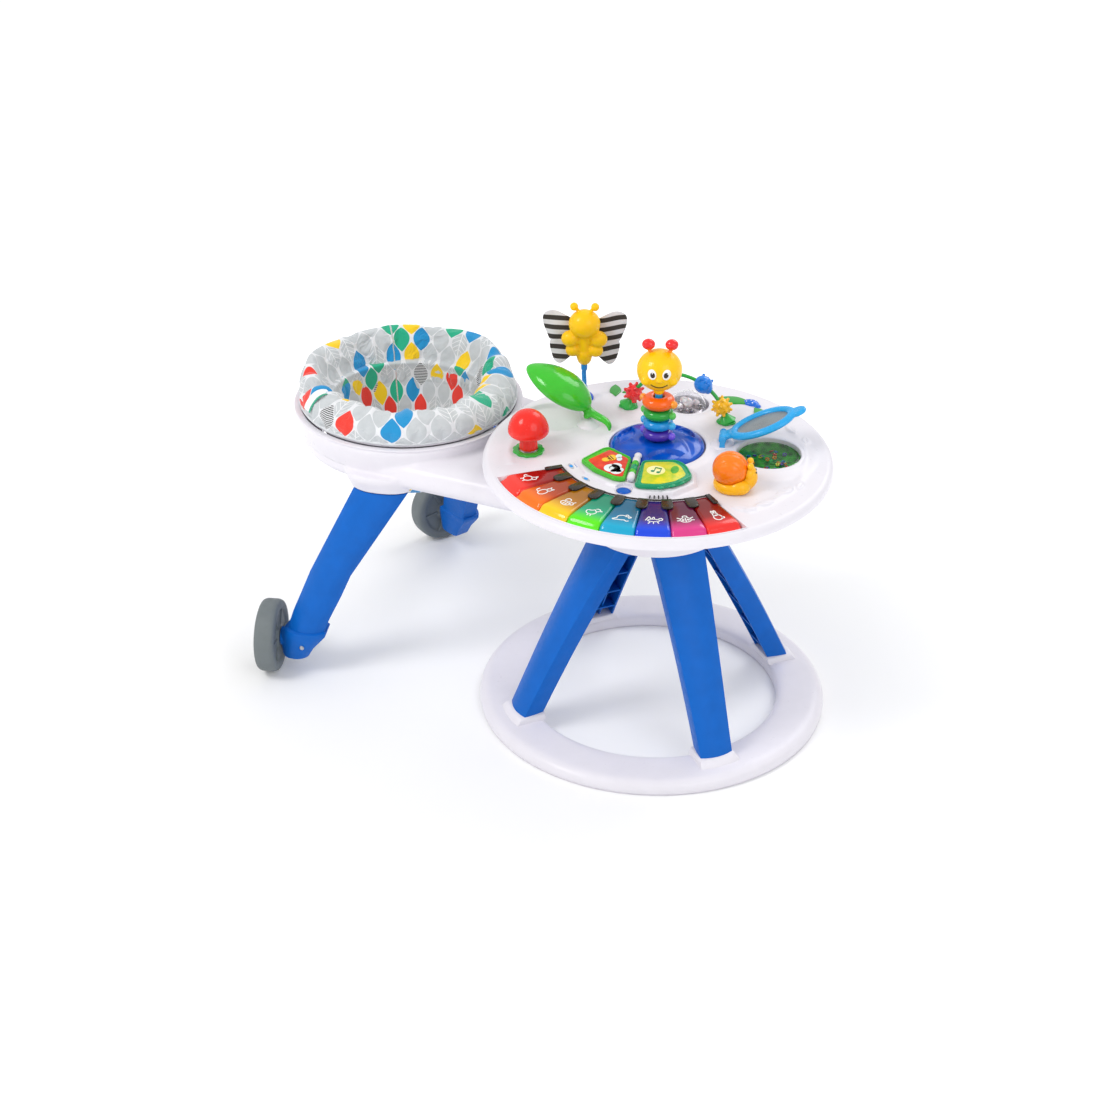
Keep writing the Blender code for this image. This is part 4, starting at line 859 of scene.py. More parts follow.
# small generic line drawings, in units of about 15 mm, +y toward the middle of the table
DRAWINGS = [
    [arc(-0.05, -0.15, 0.48, 0, 360, 30), arc(0.28, 0.42, 0.26, 0, 360, 20),
     [(0.12, 0.62), (0.1, 0.95), (0.28, 0.68)],
     [(-0.5, -0.35), (-0.85, -0.2), (-0.8, 0.1)], [(-0.25, -0.6), (-0.3, -0.9)], [(0.2, -0.58), (0.25, -0.9)]],
    [arc(0.0, -0.25, 0.42, 0, 360, 26, 0.58), arc(0.1, 0.5, 0.26, 0, 360, 20),
     [(-0.06, 0.7), (-0.12, 0.98), (0.1, 0.76)],
     [(0.2, 0.74), (0.36, 0.96), (0.34, 0.62)], [(-0.38, -0.55), (-0.8, -0.45), (-0.85, 0.0)]],
    [arc(0, -0.1, 0.55, 0, 360, 28, 0.4), arc(0.62, 0.1, 0.24, 0, 360, 18), [(-0.15, 0.28), (-0.15, -0.48)],
     [(0.15, 0.28), (0.15, -0.48)],
     arc(-0.1, 0.48, 0.3, -60, 200, 14, 0.34), [(0.7, 0.32), (0.85, 0.62)]],
    [arc(-0.05, -0.1, 0.55, 150, 385, 26, 0.48), [(-0.52, 0.14), (-0.1, 0.2), (0.22, 0.52)],
     arc(0.45, 0.42, 0.26, 0, 360, 20),
     [(0.7, 0.45), (0.98, 0.38), (0.68, 0.28)], [(-0.1, -0.56), (-0.15, -0.9)], [(0.18, -0.54), (0.2, -0.9)]],
    [arc(0.1, 0.0, 0.6, 0, 200, 22, 0.42), arc(0.45, 0.42, 0.17, 0, 360, 14),
     [(0.7, 0.0), (0.95, 0.2), (0.7, 0.35)],
     [(-0.46, -0.12), (-0.9, -0.5), (-0.2, -0.5), (0.3, -0.45)], [(0.3, -0.4), (0.62, -0.62), (0.85, -0.5)]],
    [arc(0.0, -0.05, 0.62, 0, 360, 26, 0.24), arc(0.72, 0.2, 0.2, 0, 360, 16),
     [(-0.3, 0.15), (-0.5, 0.65), (-0.85, -0.05)],
     [(0.1, 0.18), (0.0, 0.6), (-0.25, 0.2)], [(-0.3, -0.25), (-0.55, -0.7)], [(0.0, -0.28), (0.0, -0.7)],
     [(0.35, -0.22), (0.55, -0.62)]],
    [arc(0, -0.05, 0.58, 0, 360, 28, 0.46), [(0.0, 0.4), (0.0, -0.5)], arc(0.0, 0.56, 0.24, 0, 360, 16, 0.18),
     [(-0.48, 0.2), (-0.85, 0.42)], [(-0.56, -0.1), (-0.92, -0.15)], [(0.48, 0.2), (0.85, 0.42)],
     [(0.56, -0.1), (0.92, -0.15)], arc(-0.28, -0.05, 0.1, 0, 360, 10), arc(0.28, -0.05, 0.1, 0, 360, 10)],
    [arc(0.05, -0.35, 0.44, 0, 360, 26, 0.5), arc(0, 0.28, 0.27, 0, 360, 20),
     arc(-0.14, 0.75, 0.1, -60, 240, 14, 0.28), arc(0.16, 0.75, 0.1, -60, 240, 14, 0.28),
     arc(0.56, -0.55, 0.13, 0, 360, 12)],
]


def keys():
    for i, (dark, bright) in enumerate(KEY_TINTS_SHADED_AND_LIT):
        number = i + 1
        put(f"key_{number}_blade", key_blade(i), key_material(number, dark, bright), f"key_{number}",
            f"piano_key_{number}",
            sharp=60)
        mid = KEY_START + KEY_PITCH * (i + 0.5)
        at = polar(0.23, mid)
        side, inward = np.array((-sin(mid), cos(mid))), -np.array((cos(mid), sin(mid)))
        strokes = []
        for line in DRAWINGS[i]:
            path = [at[:2] + side * x * 0.015 + inward * y * 0.0155 for x, y in curve_through(line, 36)]
            strokes.append(pen(path, 0.0015, 0.4792, 0.001))
        put(f"key_{number}_print", merge(*strokes), INK_WHITE, f"key_{number}", sharp=0)
    # the dark lobed bar across the inner ends of the keys
    lobes = []
    for k in range(9):
        mid = KEY_START + KEY_PITCH * k
        half = 0.235 * KEY_PITCH
        low, high = (mid + 0.002 if k == 0 else mid - half), (mid - 0.002 if k == 8 else mid + half)
        tip, count = 0.1965, 18
        inner = [polar(0.1662, a) for a in np.linspace(low, high, 8)]
        width = (high - low) * tip / 2
        cap = []
        for t in np.linspace(1, -1, count):
            round_off = width * 0.95 * (1 - (1 - abs(t) ** 3.0) ** 0.5)
            cap.append(polar(tip - round_off, (low + high) / 2 + t * (high - low) / 2))
        lobes.append(slab([tuple(p[:2]) for p in inner + cap], 0.4795, 0.4828, 0.0013, 3))
    rail = [tuple(polar(0.1657, a)[:2]) for a in np.linspace(KEY_START, KEY_END, 90)]
    rail += [tuple(polar(0.1685, a)[:2]) for a in np.linspace(KEY_END, KEY_START, 90)]
    lobes.append(slab(rail, 0.4795, 0.4815, 0.0006, 2))
    put("sharps_lobes", merge(*lobes), BLACK, "table", "sharps_bar", sharp=45)


keys()


# ------------------------------------------------------------------ table legs
def leg_row(r, z, w, depth, wall, bow, outward, side):
    """Cross-section of a channel leg: a bowed outer face with two returns toward the middle."""
    out = []
    for t in np.linspace(-1, 1, 17):
        out.append((r + bow * (1 - t * t) - bow * 0.25, t * w))
    edge = out[-1][0]
    out += [(edge - 0.0022, w + 0.0004), (edge - depth * 0.5, w - 0.0008), (edge - depth, w - 0.004),
            (edge - depth, w - 0.004 - wall)]
    for t in np.linspace(1, -1, 13):
        out.append((r + bow * (1 - t * t) - bow * 0.25 - wall, t * (w - wall)))
    out += [(edge - depth, -w + 0.004 + wall), (edge - depth, -w + 0.004), (edge - depth * 0.5, -w + 0.0008),
            (edge - 0.0022, -w - 0.0004)]
    return [(*(outward * x + side * y), z) for x, y in out]


def table_legs():
    for n, angle in enumerate((-35.7, 54.3, 144.3, 234.3), 1):
        o = np.array((cos(radians(angle)), sin(radians(angle))))
        s = np.array((-o[1], o[0]))
        rows, ribs = [], []
        z0, z1 = 0.0243, 0.3448
        for t in np.linspace(0, 1, 30):
            z = z0 + (z1 - z0) * t
            r = 0.258 + (0.0905 - 0.258) * t + 0.0045 * sin(pi * t)
            w = 0.0285 + (0.045 - 0.0285) * t ** 1.25
            rows.append(leg_row(r, z, w, 0.036, 0.0035, 0.22 * w, o, s))
        put(f"leg_{n}_channel", loft(rows, caps=True), LEG_BLUE, "table", f"table_leg_{n}",
            sharp=42)
        for t in (0.1, 0.24, 0.4, 0.56, 0.74):
            z = z0 + (z1 - z0) * t
            r = 0.258 + (0.0905 - 0.258) * t + 0.0045 * sin(pi * t)
            w = 0.0285 + (0.045 - 0.0285) * t ** 1.25 - 0.0042
            rib = [(r - 0.0375, -w + 0.004), (r - 0.0375, w - 0.004), (r - 0.006, w), (r - 0.006, -w)]
            outline = [tuple(o * x + s * y) for x, y in rib]
            ribs.append(slab(outline, z, z + 0.003, 0.0006, 2))
        spine = [[(*(o * (0.258 + (0.0905 - 0.258) * t - x) + s * y), z0 + (z1 - z0) * t) for x, y in
                  ((0.004, -0.0014), (0.004, 0.0014), (0.03, 0.0014),
                   (0.03, -0.0014))] for t in np.linspace(0.02, 0.98, 8)]
        ribs.append(loft(spine))
        put(f"leg_{n}_ribs", merge(*ribs), LEG_BLUE, "table", sharp=40)
        # the moulded boot on the ring that the leg stands in
        boot = []
        for z, grow in ((0.0218, 0.0075), (0.026, 0.0068), (0.03, 0.0052), (0.0335, 0.003), (0.0343, 0.0016)):
            r = 0.258 - (z - z0) * 0.52
            w, d = 0.0285 + grow, 0.036 + grow
            outline = [(r + 0.0065 + grow - 0.4 * (abs(y) / w) ** 2 * 0.012, y) for y in np.linspace(-w, w, 9)]
            outline += [(r - d, w - 0.003), (r - d, -w + 0.003)]
            boot.append([(*(o * x + s * y), z) for x, y in outline])
        put(f"leg_{n}_socket", loft(boot), WHITE, "table", sharp=50)


table_legs()


# ------------------------------------------------------------------ walk-around arm
SEAT_X = -0.497
SOCKET_ANGLE, WHEEL_ANGLE = radians(72), radians(23.8)
WHEEL_INNER = 0.66
SEAT_TURN = radians(-45)


def carve(part, cutters):
    """The part with the cutter shells taken out of it."""
    obj = bpy.data.objects.new("carving", to_mesh("carving", part))
    bpy.context.scene.collection.objects.link(obj)
    tools = []
    for cutter in cutters:
        tool = bpy.data.objects.new("cutter", to_mesh("cutter", cutter))
        bpy.context.scene.collection.objects.link(tool)
        tools.append(tool)
        made = obj.modifiers.new("cut", "BOOLEAN")
        made.operation, made.solver, made.object = "DIFFERENCE", "EXACT", tool
    done = bpy.data.meshes.new_from_object(obj.evaluated_get(bpy.context.evaluated_depsgraph_get()))
    verts = np.zeros(len(done.vertices) * 3)
    done.vertices.foreach_get("co", verts)
    faces = [tuple(p.vertices) for p in done.polygons]
    for old in tools + [obj]:
        bpy.data.objects.remove(old)
    bpy.data.meshes.remove(done)
    return verts.reshape(-1, 3), faces


def drum(radius, low, high, at=(0, 0), steps=96):
    return lathe([(0, low), (radius, low), (radius, high), (0, high)], steps, (at[0], at[1], 0), closed=False)


def seat_leg_outline(side, left, right, out, depth, height, count=22, inner=10):
    outward = np.array((cos(SOCKET_ANGLE), side * sin(SOCKET_ANGLE)))
    across = np.array((outward[1], -outward[0])) * side
    wheel = np.array((-cos(WHEEL_ANGLE), side * sin(WHEEL_ANGLE))) * WHEEL_INNER
    points = []
    for i in range(count + 1):
        s = 2 * i / count - 1
        swell = (1 - abs(s) ** 2.6)
        place = left + (right - left) * i / count
        points.append(wheel + across * place + outward * (out + depth * (0.2 + 0.3 * swell)))
    for i in range(inner + 1):
        s = 2 * i / inner - 1
        place = right + (left - right) * (0.04 + 0.92 * i / inner)
        points.append(wheel + across * place + outward * (out - depth * (0.5 - 0.06 * s ** 4)))
    return [(p[0], p[1], height) for p in points]


def leg_head(side, height, grow=0.0):
    outward = np.array((cos(SOCKET_ANGLE), side * sin(SOCKET_ANGLE)))
    across = np.array((outward[1], -outward[0])) * side
    wheel = np.array((-cos(WHEEL_ANGLE), side * sin(WHEEL_ANGLE))) * WHEEL_INNER
    rel = np.array((SEAT_X, 0)) + outward * 0.17 - wheel
    middle, out = rel.dot(across), rel.dot(outward)
    return seat_leg_outline(side, middle - 0.048 - grow, middle + 0.048 + grow, out, 0.05 + 2 * grow, height)


def belt(seat_r, hub_r):
    """The outline of a belt round the seat hoop and the table hub."""
    lean = np.arccos((seat_r - hub_r) / -SEAT_X)
    pts = [(SEAT_X + seat_r * cos(a), seat_r * sin(a)) for a in np.linspace(lean, 2 * pi - lean, 40)]
    pts += [(hub_r * cos(a), hub_r * sin(a)) for a in np.linspace(-lean, lean, 40)]
    return pts


def arm():
    beam_rows = []
    for inset, z in ((0.026, 0.3735), (0.014, 0.3745), (0.006, 0.379), (0.001, 0.387), (0.0, 0.396),
                     (0.002, 0.407),
                     (0.008, 0.416), (0.018, 0.422), (0.03, 0.424)):
        beam_rows.append([(*p, z) for p in belt(0.189 - inset, 0.125 - inset)])
    hoop = [(0.152, 0.3722), (0.164, 0.3726), (0.174, 0.379), (0.1835, 0.3915), (0.1905, 0.406), (0.1955, 0.42),
            (0.199, 0.433), (0.2003, 0.44), (0.2, 0.445), (0.1975, 0.448), (0.1935, 0.4482), (0.15, 0.447)]
    shells = [loft(beam_rows), lathe(hoop, 160, (SEAT_X, 0, 0))]
    collar = [(0.07, 0.3935), (0.118, 0.3935), (0.12, 0.4), (0.11, 0.42), (0.09, 0.4235), (0.07, 0.4235)]
    shells.append(lathe(collar, 96))
    for side in (-1, 1):
        rows = [leg_head(side, z, g) for z,
                g in ((0.3612, 0.0026), (0.364, 0.0032), (0.37, 0.0045), (0.378, 0.0085),
                                                 (0.386, 0.012), (0.396, 0.013))]
        shells.append(loft(rows))
    skin = fused(merge(*shells), 0.003, smooth=10, factor=0.6)
    cutters = [drum(0.1555, 0.3, 0.6, (SEAT_X, 0), 160), drum(0.189, 0.4008, 0.6, (SEAT_X, 0), 160),
               drum(0.0768, 0.3, 0.6, steps=96), drum(0.151, 0.3, 0.3918, steps=128)]
    put("arm_shell", carve(skin, cutters), WHITE, "seat_arm", "seat_frame", sharp=40)
    groove = fillet([(0.1835, 0.4472), (0.185, 0.4486), (0.1915, 0.449), (0.195, 0.4486), (0.195, 0.4462),
                     (0.1835, 0.4455)],
                    0.0008, 3, closed=True)
    put("hoop_lip", lathe([(r + 0.0052, z) for r, z in groove], 160, (SEAT_X, 0, 0)), WHITE, "seat_arm")
    ring = fillet([(0.1462, 0.402), (0.15, 0.402), (0.1505, 0.4478), (0.187, 0.4488), (0.187, 0.4524),
                   (0.1462, 0.4524)],
                  0.0012, 3, closed=True)
    put("swivel_ring_moulding", lathe(ring, 160, (SEAT_X, 0, 0)), WHITE, "seat", "swivel_ring")


def seat_legs():
    for side, name in ((-1, "right"), (1, "left")):
        rows = []
        shin = [(0.017, 0.083, -0.004, 0.047, 0.09), (0.0195, 0.087, -0.0055, 0.0473, 0.1),
                (0.0265, 0.097, -0.0095, 0.0476, 0.122), (0.042, 0.115, -0.0155, 0.0478, 0.16),
                (0.058, 0.132, -0.021, 0.048, 0.2)]
        boot = [(0.0085, 0.044, 0.0, 0.032, 0.03), (0.005, 0.049, 0.0, 0.039, 0.0312),
                (0.004, 0.052, 0.0, 0.041, 0.0345),
                (0.003, 0.062, 0.0, 0.0455, 0.052), (0.0015, 0.079, 0.0, 0.05, 0.072),
                (0.0025, 0.085, -0.001, 0.0515, 0.079),
                (0.006, 0.087, -0.002, 0.052, 0.0845), (0.009, 0.0865, -0.002, 0.051, 0.0866),
                (0.0145, 0.085, -0.003, 0.048, 0.0874),
                (0.0165, 0.0835, -0.004, 0.047, 0.088)]
        for left, right, out, depth, z in boot + shin:
            rows.append(seat_leg_outline(side, left, right, out, depth, z))
        low, high = np.array(rows[-1]), np.array(leg_head(side, 0.3604))
        for t in np.linspace(0, 1, 13)[1:]:
            row = low * (1 - t) + high * t
            outward = np.array((cos(SOCKET_ANGLE), side * sin(SOCKET_ANGLE), 0))
            rows.append([tuple(p) for p in row + outward * 0.0022 * sin(pi * t)])
        put(f"seat_leg_{name}_shell", loft(rows), LEG_BLUE, "seat_arm", f"seat_leg_{name}",
            sharp=36)
        radial = np.array((-cos(WHEEL_ANGLE), side * sin(WHEEL_ANGLE), 0))
        start = radial * (WHEEL_INNER - 0.031) + np.array((0, 0, 0.065))
        boss = fillet([(0, 0), (0.0185, 0), (0.0185, 0.022), (0.0168, 0.0235), (0.0168, 0.0299),
                       (0.0045, 0.0299)], 0.0012, 3)
        part = shift(aim(lathe(boss, 40, closed=False), radial), start)
        put(f"seat_leg_{name}_boss", part, LEG_BLUE, "seat_arm")
        pin = fillet([(0, 0), (0.0039, 0), (0.0039, 0.058), (0.008, 0.058), (0.008, 0.0605), (0.005, 0.0622),
                      (0, 0.0622)], 0.0008, 3)
        pin_start = radial * (WHEEL_INNER - 0.022) + np.array((0, 0, 0.065))
        put(f"axle_{name}_pin", shift(aim(lathe(pin, 32, closed=False), radial), pin_start), STEEL, "seat_arm",
            f"wheel_axle_{name}")
        screw = lathe(fillet([(0, 0), (0.0042, 0), (0.0042, 0.0016), (0.003, 0.0024), (0, 0.0024)], 0.0005, 2),
                      20, closed=False)
        outward = np.array((cos(SOCKET_ANGLE), side * sin(SOCKET_ANGLE), 0))
        across = np.array((outward[1], -outward[0], 0)) * side
        spot = radial * WHEEL_INNER + across * 0.046 + outward * 0.0232 + np.array((0, 0, 0.06))
        put(f"seat_leg_{name}_screw", shift(aim(screw, outward), spot), STEEL, "seat_arm")
        wheel(name, radial)


def wheel(name, radial):
    half, r = 0.018, 0.065
    hub = radial * 0.678 + np.array((0, 0, 0.065))
    tyre = fillet([(0.0046, -half), (0.0175, -half), (0.0215, -half + 0.0042), (0.045, -half + 0.0048),
                   (0.0495, -half + 0.0004),
                   (0.057, -half), (0.0625, -half + 0.0022), (r, -half + 0.008), (r, half - 0.008),
                   (0.0625, half - 0.0022),
                   (0.057, half), (0.0495, half - 0.0004), (0.045, half - 0.005), (0.012, half - 0.0044),
                   (0.0046, half - 0.0044)], 0.0035, 4, closed=True)
    shells = [lathe(tyre, 120)]
    for k in range(6):  # spokes standing in the dished faces
        a = pi / 3 * k
        for low, high in ((half - 0.0066, half - 0.0022), (-half + 0.0022, -half + 0.0066)):
            bar = slab([(0.017, -0.003), (0.047, -0.002), (0.047, 0.002), (0.017, 0.003)], low, high, 0.0008, 2)
            shells.append(turn(bar, "Z", a))
    put(f"wheel_{name}_tyre", shift(aim(merge(*shells), radial), hub), WHEEL, f"wheel_{name}", f"wheel_{name}",
        sharp=45)


arm()
seat_legs()


# ------------------------------------------------------------------ fabric seat
def seat_surface(steps, rows_out, rows_in):
    """Rows of points from the hoop's edge over the padded crest and down the well, and each point's UV."""
    angles = 2 * pi * np.arange(steps) / steps
    away = np.abs((angles - SEAT_TURN + pi) % (2 * pi) - pi)   # 0 at the front roll, pi at the back panel
    t = np.clip((away - radians(62)) / radians(62), 0, 1)
    back = t * t * (3 - 2 * t)
    front_prof = np.array([(0.1868, 0.453), (0.1885, 0.4585), (0.1888, 0.468), (0.1855, 0.4815),
                           (0.1765, 0.493),
                           (0.164, 0.4985), (0.15, 0.4985), (0.136, 0.4925), (0.1255, 0.48), (0.1215, 0.464),
                           (0.124, 0.448), (0.1278, 0.433), (0.1272, 0.41), (0.123, 0.38), (0.112, 0.347),
                           (0.09, 0.322), (0.058, 0.309), (0.028, 0.304)])
    back_prof = np.array([(0.1868, 0.453), (0.1888, 0.46), (0.189, 0.471), (0.188, 0.485), (0.184, 0.4985),
                          (0.177, 0.5062), (0.169, 0.506), (0.162, 0.4985), (0.156, 0.485), (0.1505, 0.468),
                          (0.146, 0.45), (0.142, 0.433), (0.1345, 0.41), (0.1255, 0.38), (0.1125, 0.347),
                          (0.09, 0.322), (0.058, 0.309), (0.028, 0.304)])
    count = rows_out + rows_in
    fronts, backs = curve_through(front_prof, count), curve_through(back_prof, count)
    rows, uvs = [], []
    run = np.concatenate([[0], np.cumsum(np.linalg.norm(np.diff(0.5 * (fronts + backs), axis=0), axis=1))])
    for i in range(count):
        r = fronts[i, 0] * (1 - back) + backs[i, 0] * back
        z = fronts[i, 1] * (1 - back) + backs[i, 1] * back
        rows.append((r, z))
        uvs.append(run[i])
    return angles, away, back, np.array(rows), np.array(uvs)


def crease(away_signed, at, width):
    d = np.abs((away_signed - at + pi) % (2 * pi) - pi)
    return np.exp(-(d / width) ** 2)


def seat_cover():
    steps, rows_total = 360, 96
    angles, away, back, rz, run = seat_surface(steps, 40, rows_total - 40)
    r, z = rz[:, 0, :].copy(), rz[:, 1, :].copy()
    s = (run / run[-1])[:, None]                       # 0 at the hoop edge, 1 at the bottom
    signed = (angles - SEAT_TURN + pi) % (2 * pi) - pi
    on_roll = np.exp(-((s - 0.22) / 0.16) ** 2)
    # deep tucks where the front roll meets the sides, and the seams at each end of the back panel
    for at, width, depth in ((radians(88), radians(4.6), 0.0135), (radians(-90), radians(4.6), 0.0145),
                             (radians(73), radians(2.8), 0.0052),
                             (radians(103), radians(3.2), 0.0078), (radians(-77), radians(2.8), 0.0052),
                             (radians(-105), radians(3.2), 0.008)):
        line = crease(signed[None, :] + 0.1 * (s - 0.3), at, width)
        z -= depth * line * on_roll
        r += 0.35 * depth * line * np.exp(-((s - 0.36) / 0.1) ** 2)
    for at in (radians(157), radians(-157)):
        line = crease(signed[None, :] - np.sign(at) * 0.35 * (s - 0.25), at, radians(3.2))
        r += 0.0072 * line * np.exp(-((s - 0.42) / 0.16) ** 2)
        z -= 0.0044 * line * np.exp(-((s - 0.24) / 0.08) ** 2)
    # slack folds in the cloth
    wobble = np.zeros_like(r)
    for k, amp, drift, phase in ((9, 0.0017, 3.0, 0.3), (17, 0.0014, -5.0, 1.9), (31, 0.001, 6.0, 4.1),
                                 (53, 0.0005, -4.0, 2.2)):
        wobble += amp * np.sin(k * signed[None, :] + drift * s * 3 + phase)
    wobble *= (0.35 + 0.65 * (1 - back)[None, :]) * np.clip(s * 14, 0, 1) * np.clip((1 - s) * 6, 0, 1)
    r -= wobble * 0.8
    z += wobble * on_roll
    x, y = r * np.cos(angles)[None, :], r * np.sin(angles)[None, :]
    verts = [np.stack([SEAT_X + x[i], y[i], z[i]], 1) for i in range(rows_total)]
    uv = [np.stack([signed * SEAT_UV_R, np.full(steps, run[i])], 1) for i in range(rows_total)]
    inner = np.vstack(verts)
    verts = np.vstack([inner, [(SEAT_X, 0, 0.303)]])
    uv = np.vstack([np.vstack(uv), [(0, run[-1] + 0.02)]])
    faces = grid_faces(rows_total, steps)
    last = (rows_total - 1) * steps
    faces += [(last + j, last + (j + 1) % steps, rows_total * steps) for j in range(steps)]
    return verts, faces, uv, run, steps, rows_total


CLOTH_FRAMES = 20
CLOTH_TRAVEL = 0.006  # how far the cloth may settle from its pattern


def soft_sim(name, part, pins, pressure):
    """Lets cloth settle and pucker under a little pressure; the seams and edges stay where they are pinned."""
    mesh = to_mesh(name, part)
    obj = bpy.data.objects.new(name, mesh)
    bpy.context.scene.collection.objects.link(obj)
    group = obj.vertex_groups.new(name="held")
    for weight in np.unique(pins):
        if weight > 0:
            group.add([int(i) for i in np.nonzero(pins == weight)[0]], float(weight), "REPLACE")
    made = obj.modifiers.new("cloth", "CLOTH")
    made.settings.quality = 4
    made.settings.mass = 0.25
    made.settings.tension_stiffness = made.settings.compression_stiffness = 12
    made.settings.shear_stiffness = 6
    made.settings.bending_stiffness = 0.05
    made.settings.use_pressure = True
    made.settings.uniform_pressure_force = pressure
    made.settings.vertex_group_mass = "held"
    made.settings.shrink_min = made.settings.shrink_max = -0.035
    made.settings.effector_weights.gravity = 0
    made.collision_settings.use_collision = False
    scene = bpy.context.scene
    for frame_number in range(1, CLOTH_FRAMES + 1):
        scene.frame_set(frame_number)
    moved = np.zeros(len(mesh.vertices) * 3)
    obj.evaluated_get(bpy.context.evaluated_depsgraph_get()).data.vertices.foreach_get("co", moved)
    moved = moved.reshape(-1, 3)
    scene.frame_set(1)
    bpy.data.objects.remove(obj)
    bpy.data.meshes.remove(mesh)
    step = moved - part[0]
    size = np.linalg.norm(step, axis=1)[:, None]
    return part[0] + step * np.minimum(1, CLOTH_TRAVEL / np.maximum(size, 1e-9))


def fabric_seat():
    verts, faces, uv, run, steps, count = seat_cover()
    row = np.minimum(np.arange(len(verts)) // steps, count)
    pins = np.where(row <= 1, 1.0, 0.0)
    pins = np.where(row >= count - 30, 1.0, pins)
    signed = (2 * pi * (np.arange(len(verts)) % steps) / steps - SEAT_TURN + pi) % (2 * pi) - pi
    for at, top, bottom in ((157, 12, 52), (-157, 12, 52), (88, 14, 44), (-90, 14, 44)):
        near = np.abs(signed - radians(at)) < radians(0.8)
        pins = np.where(near & (row > top) & (row < bottom), 0.85, pins)
    verts = soft_sim("seat_cloth", (verts, faces), pins, 1.2)
    # the underside of the sling: the same well a few millimetres further out
    outer = [(0.0, 0.2905), (0.03, 0.2915), (0.06, 0.296), (0.0915, 0.309), (0.113, 0.331), (0.1245, 0.356),
             (0.133, 0.385), (0.1372, 0.41), (0.1375, 0.44), (0.1378, 0.4522), (0.15, 0.4532), (0.17, 0.4532),
             (0.185, 0.4532)]
    path = curve_through(outer[1:], 40)
    base = len(verts)
    angles = 2 * pi * np.arange(steps) / steps
    lower = [np.array([[SEAT_X, 0, 0.2903]])]
    uv_low = [np.array([[0, 0.6]])]
    for r, z in path:
        lower.append(np.stack([SEAT_X + r * np.cos(angles), r * np.sin(angles), np.full(steps, z)], 1))
        uv_low.append(np.stack([((angles - SEAT_TURN + pi) % (2 * pi) - pi) * SEAT_UV_R,
                                np.full(steps, 0.62 + z)], 1))
    faces = list(faces) + [(base, base + 1 + (j + 1) % steps, base + 1 + j) for j in range(steps)]
    faces += [tuple(reversed(f)) for f in grid_faces(len(path), steps, base=base + 1)]
    final = base + 1 + (len(path) - 1) * steps
    faces += [(final + j, final + (j + 1) % steps, (j + 1) % steps, j) for j in range(steps)]
    verts, uv = np.vstack([verts] + lower), np.vstack([uv] + uv_low)
    obj = put("seat_cover", (verts, faces), FABRIC, "seat", ("seat_rim_pad", "seat_bucket"), sharp=0,
              uv=uv)
    # the two leg openings, cut through both layers, with bound edges
    for side in (-1, 1):
        centre = Vector((0, side * 0.018, 0.358))
        way = Vector((0.75, side * 0.62, -0.3)).normalized()
        spin = Matrix.Rotation(SEAT_TURN, 3, "Z")
        centre, way = spin @ centre + Vector((SEAT_X, 0, 0)), spin @ way
        shaft = shift(aim(lathe([(0, 0.02), (0.045, 0.02), (0.045, 0.17), (0, 0.17)], 48, closed=False), way),
                      centre)
        tool = bpy.data.objects.new("cutter",
                                    to_mesh("cutter", (shaft[0] + np.array((TABLE_X, 0, 0)), shaft[1])))
        bpy.context.scene.collection.objects.link(tool)
        made = obj.modifiers.new("cut", "BOOLEAN")
        made.operation, made.solver, made.object = "DIFFERENCE", "EXACT", tool
        done = bpy.data.meshes.new_from_object(obj.evaluated_get(bpy.context.evaluated_depsgraph_get()))
        obj.modifiers.clear()
        old, obj.data = obj.data, done
        bpy.data.meshes.remove(old)
        bpy.data.objects.remove(tool)
        # binding round the opening, following the sling's wall
        u = way.orthogonal().normalized()
        v = way.cross(u)
        loop = []
        for k in range(72):
            a = 2 * pi * k / 72
            q = centre + (u * cos(a) + v * sin(a)) * 0.0448
            best = None
            for d in np.linspace(0.02, 0.17, 151):
                p = q + way * d
                rr = hypot(p.x - SEAT_X, p.y)
                wall = np.interp(rr, [0.0, 0.03, 0.06, 0.0915, 0.113, 0.1245],
                                 [0.297, 0.298, 0.3025, 0.3155, 0.339, 0.368])
                if p.z < wall or rr > 0.131:
                    best = p
                    break
            loop.append(tuple(best if best is not None else q + way * 0.12))
        loop = np.array(loop)
        loop = (np.roll(loop, 1, 0) + 2 * loop + np.roll(loop, -1, 0)) / 4
        closed = np.vstack([loop, loop[:2]])
        name = "right" if side < 0 else "left"
        binding = put(f"leg_opening_binding_{name}", tube(closed, 0.0058, 12, caps=False, flat=1.0), BINDING,
                      "seat", sharp=0)
    return obj


def binding_cloth():
    s = Shading("binding_cloth")
    weave = s.noise(1800, 2)
    tone = s.ramp(s.noise(60, 2), [(0.3, srgb("#C9CDD1")), (0.7, srgb("#D8DBDE"))])
    return s.set(Base_Color=tone, Roughness=0.85, Normal=s.bump(weave, 0.4, 0.0003), Sheen_Weight=0.3)


BINDING = binding_cloth()
cover = fabric_seat()


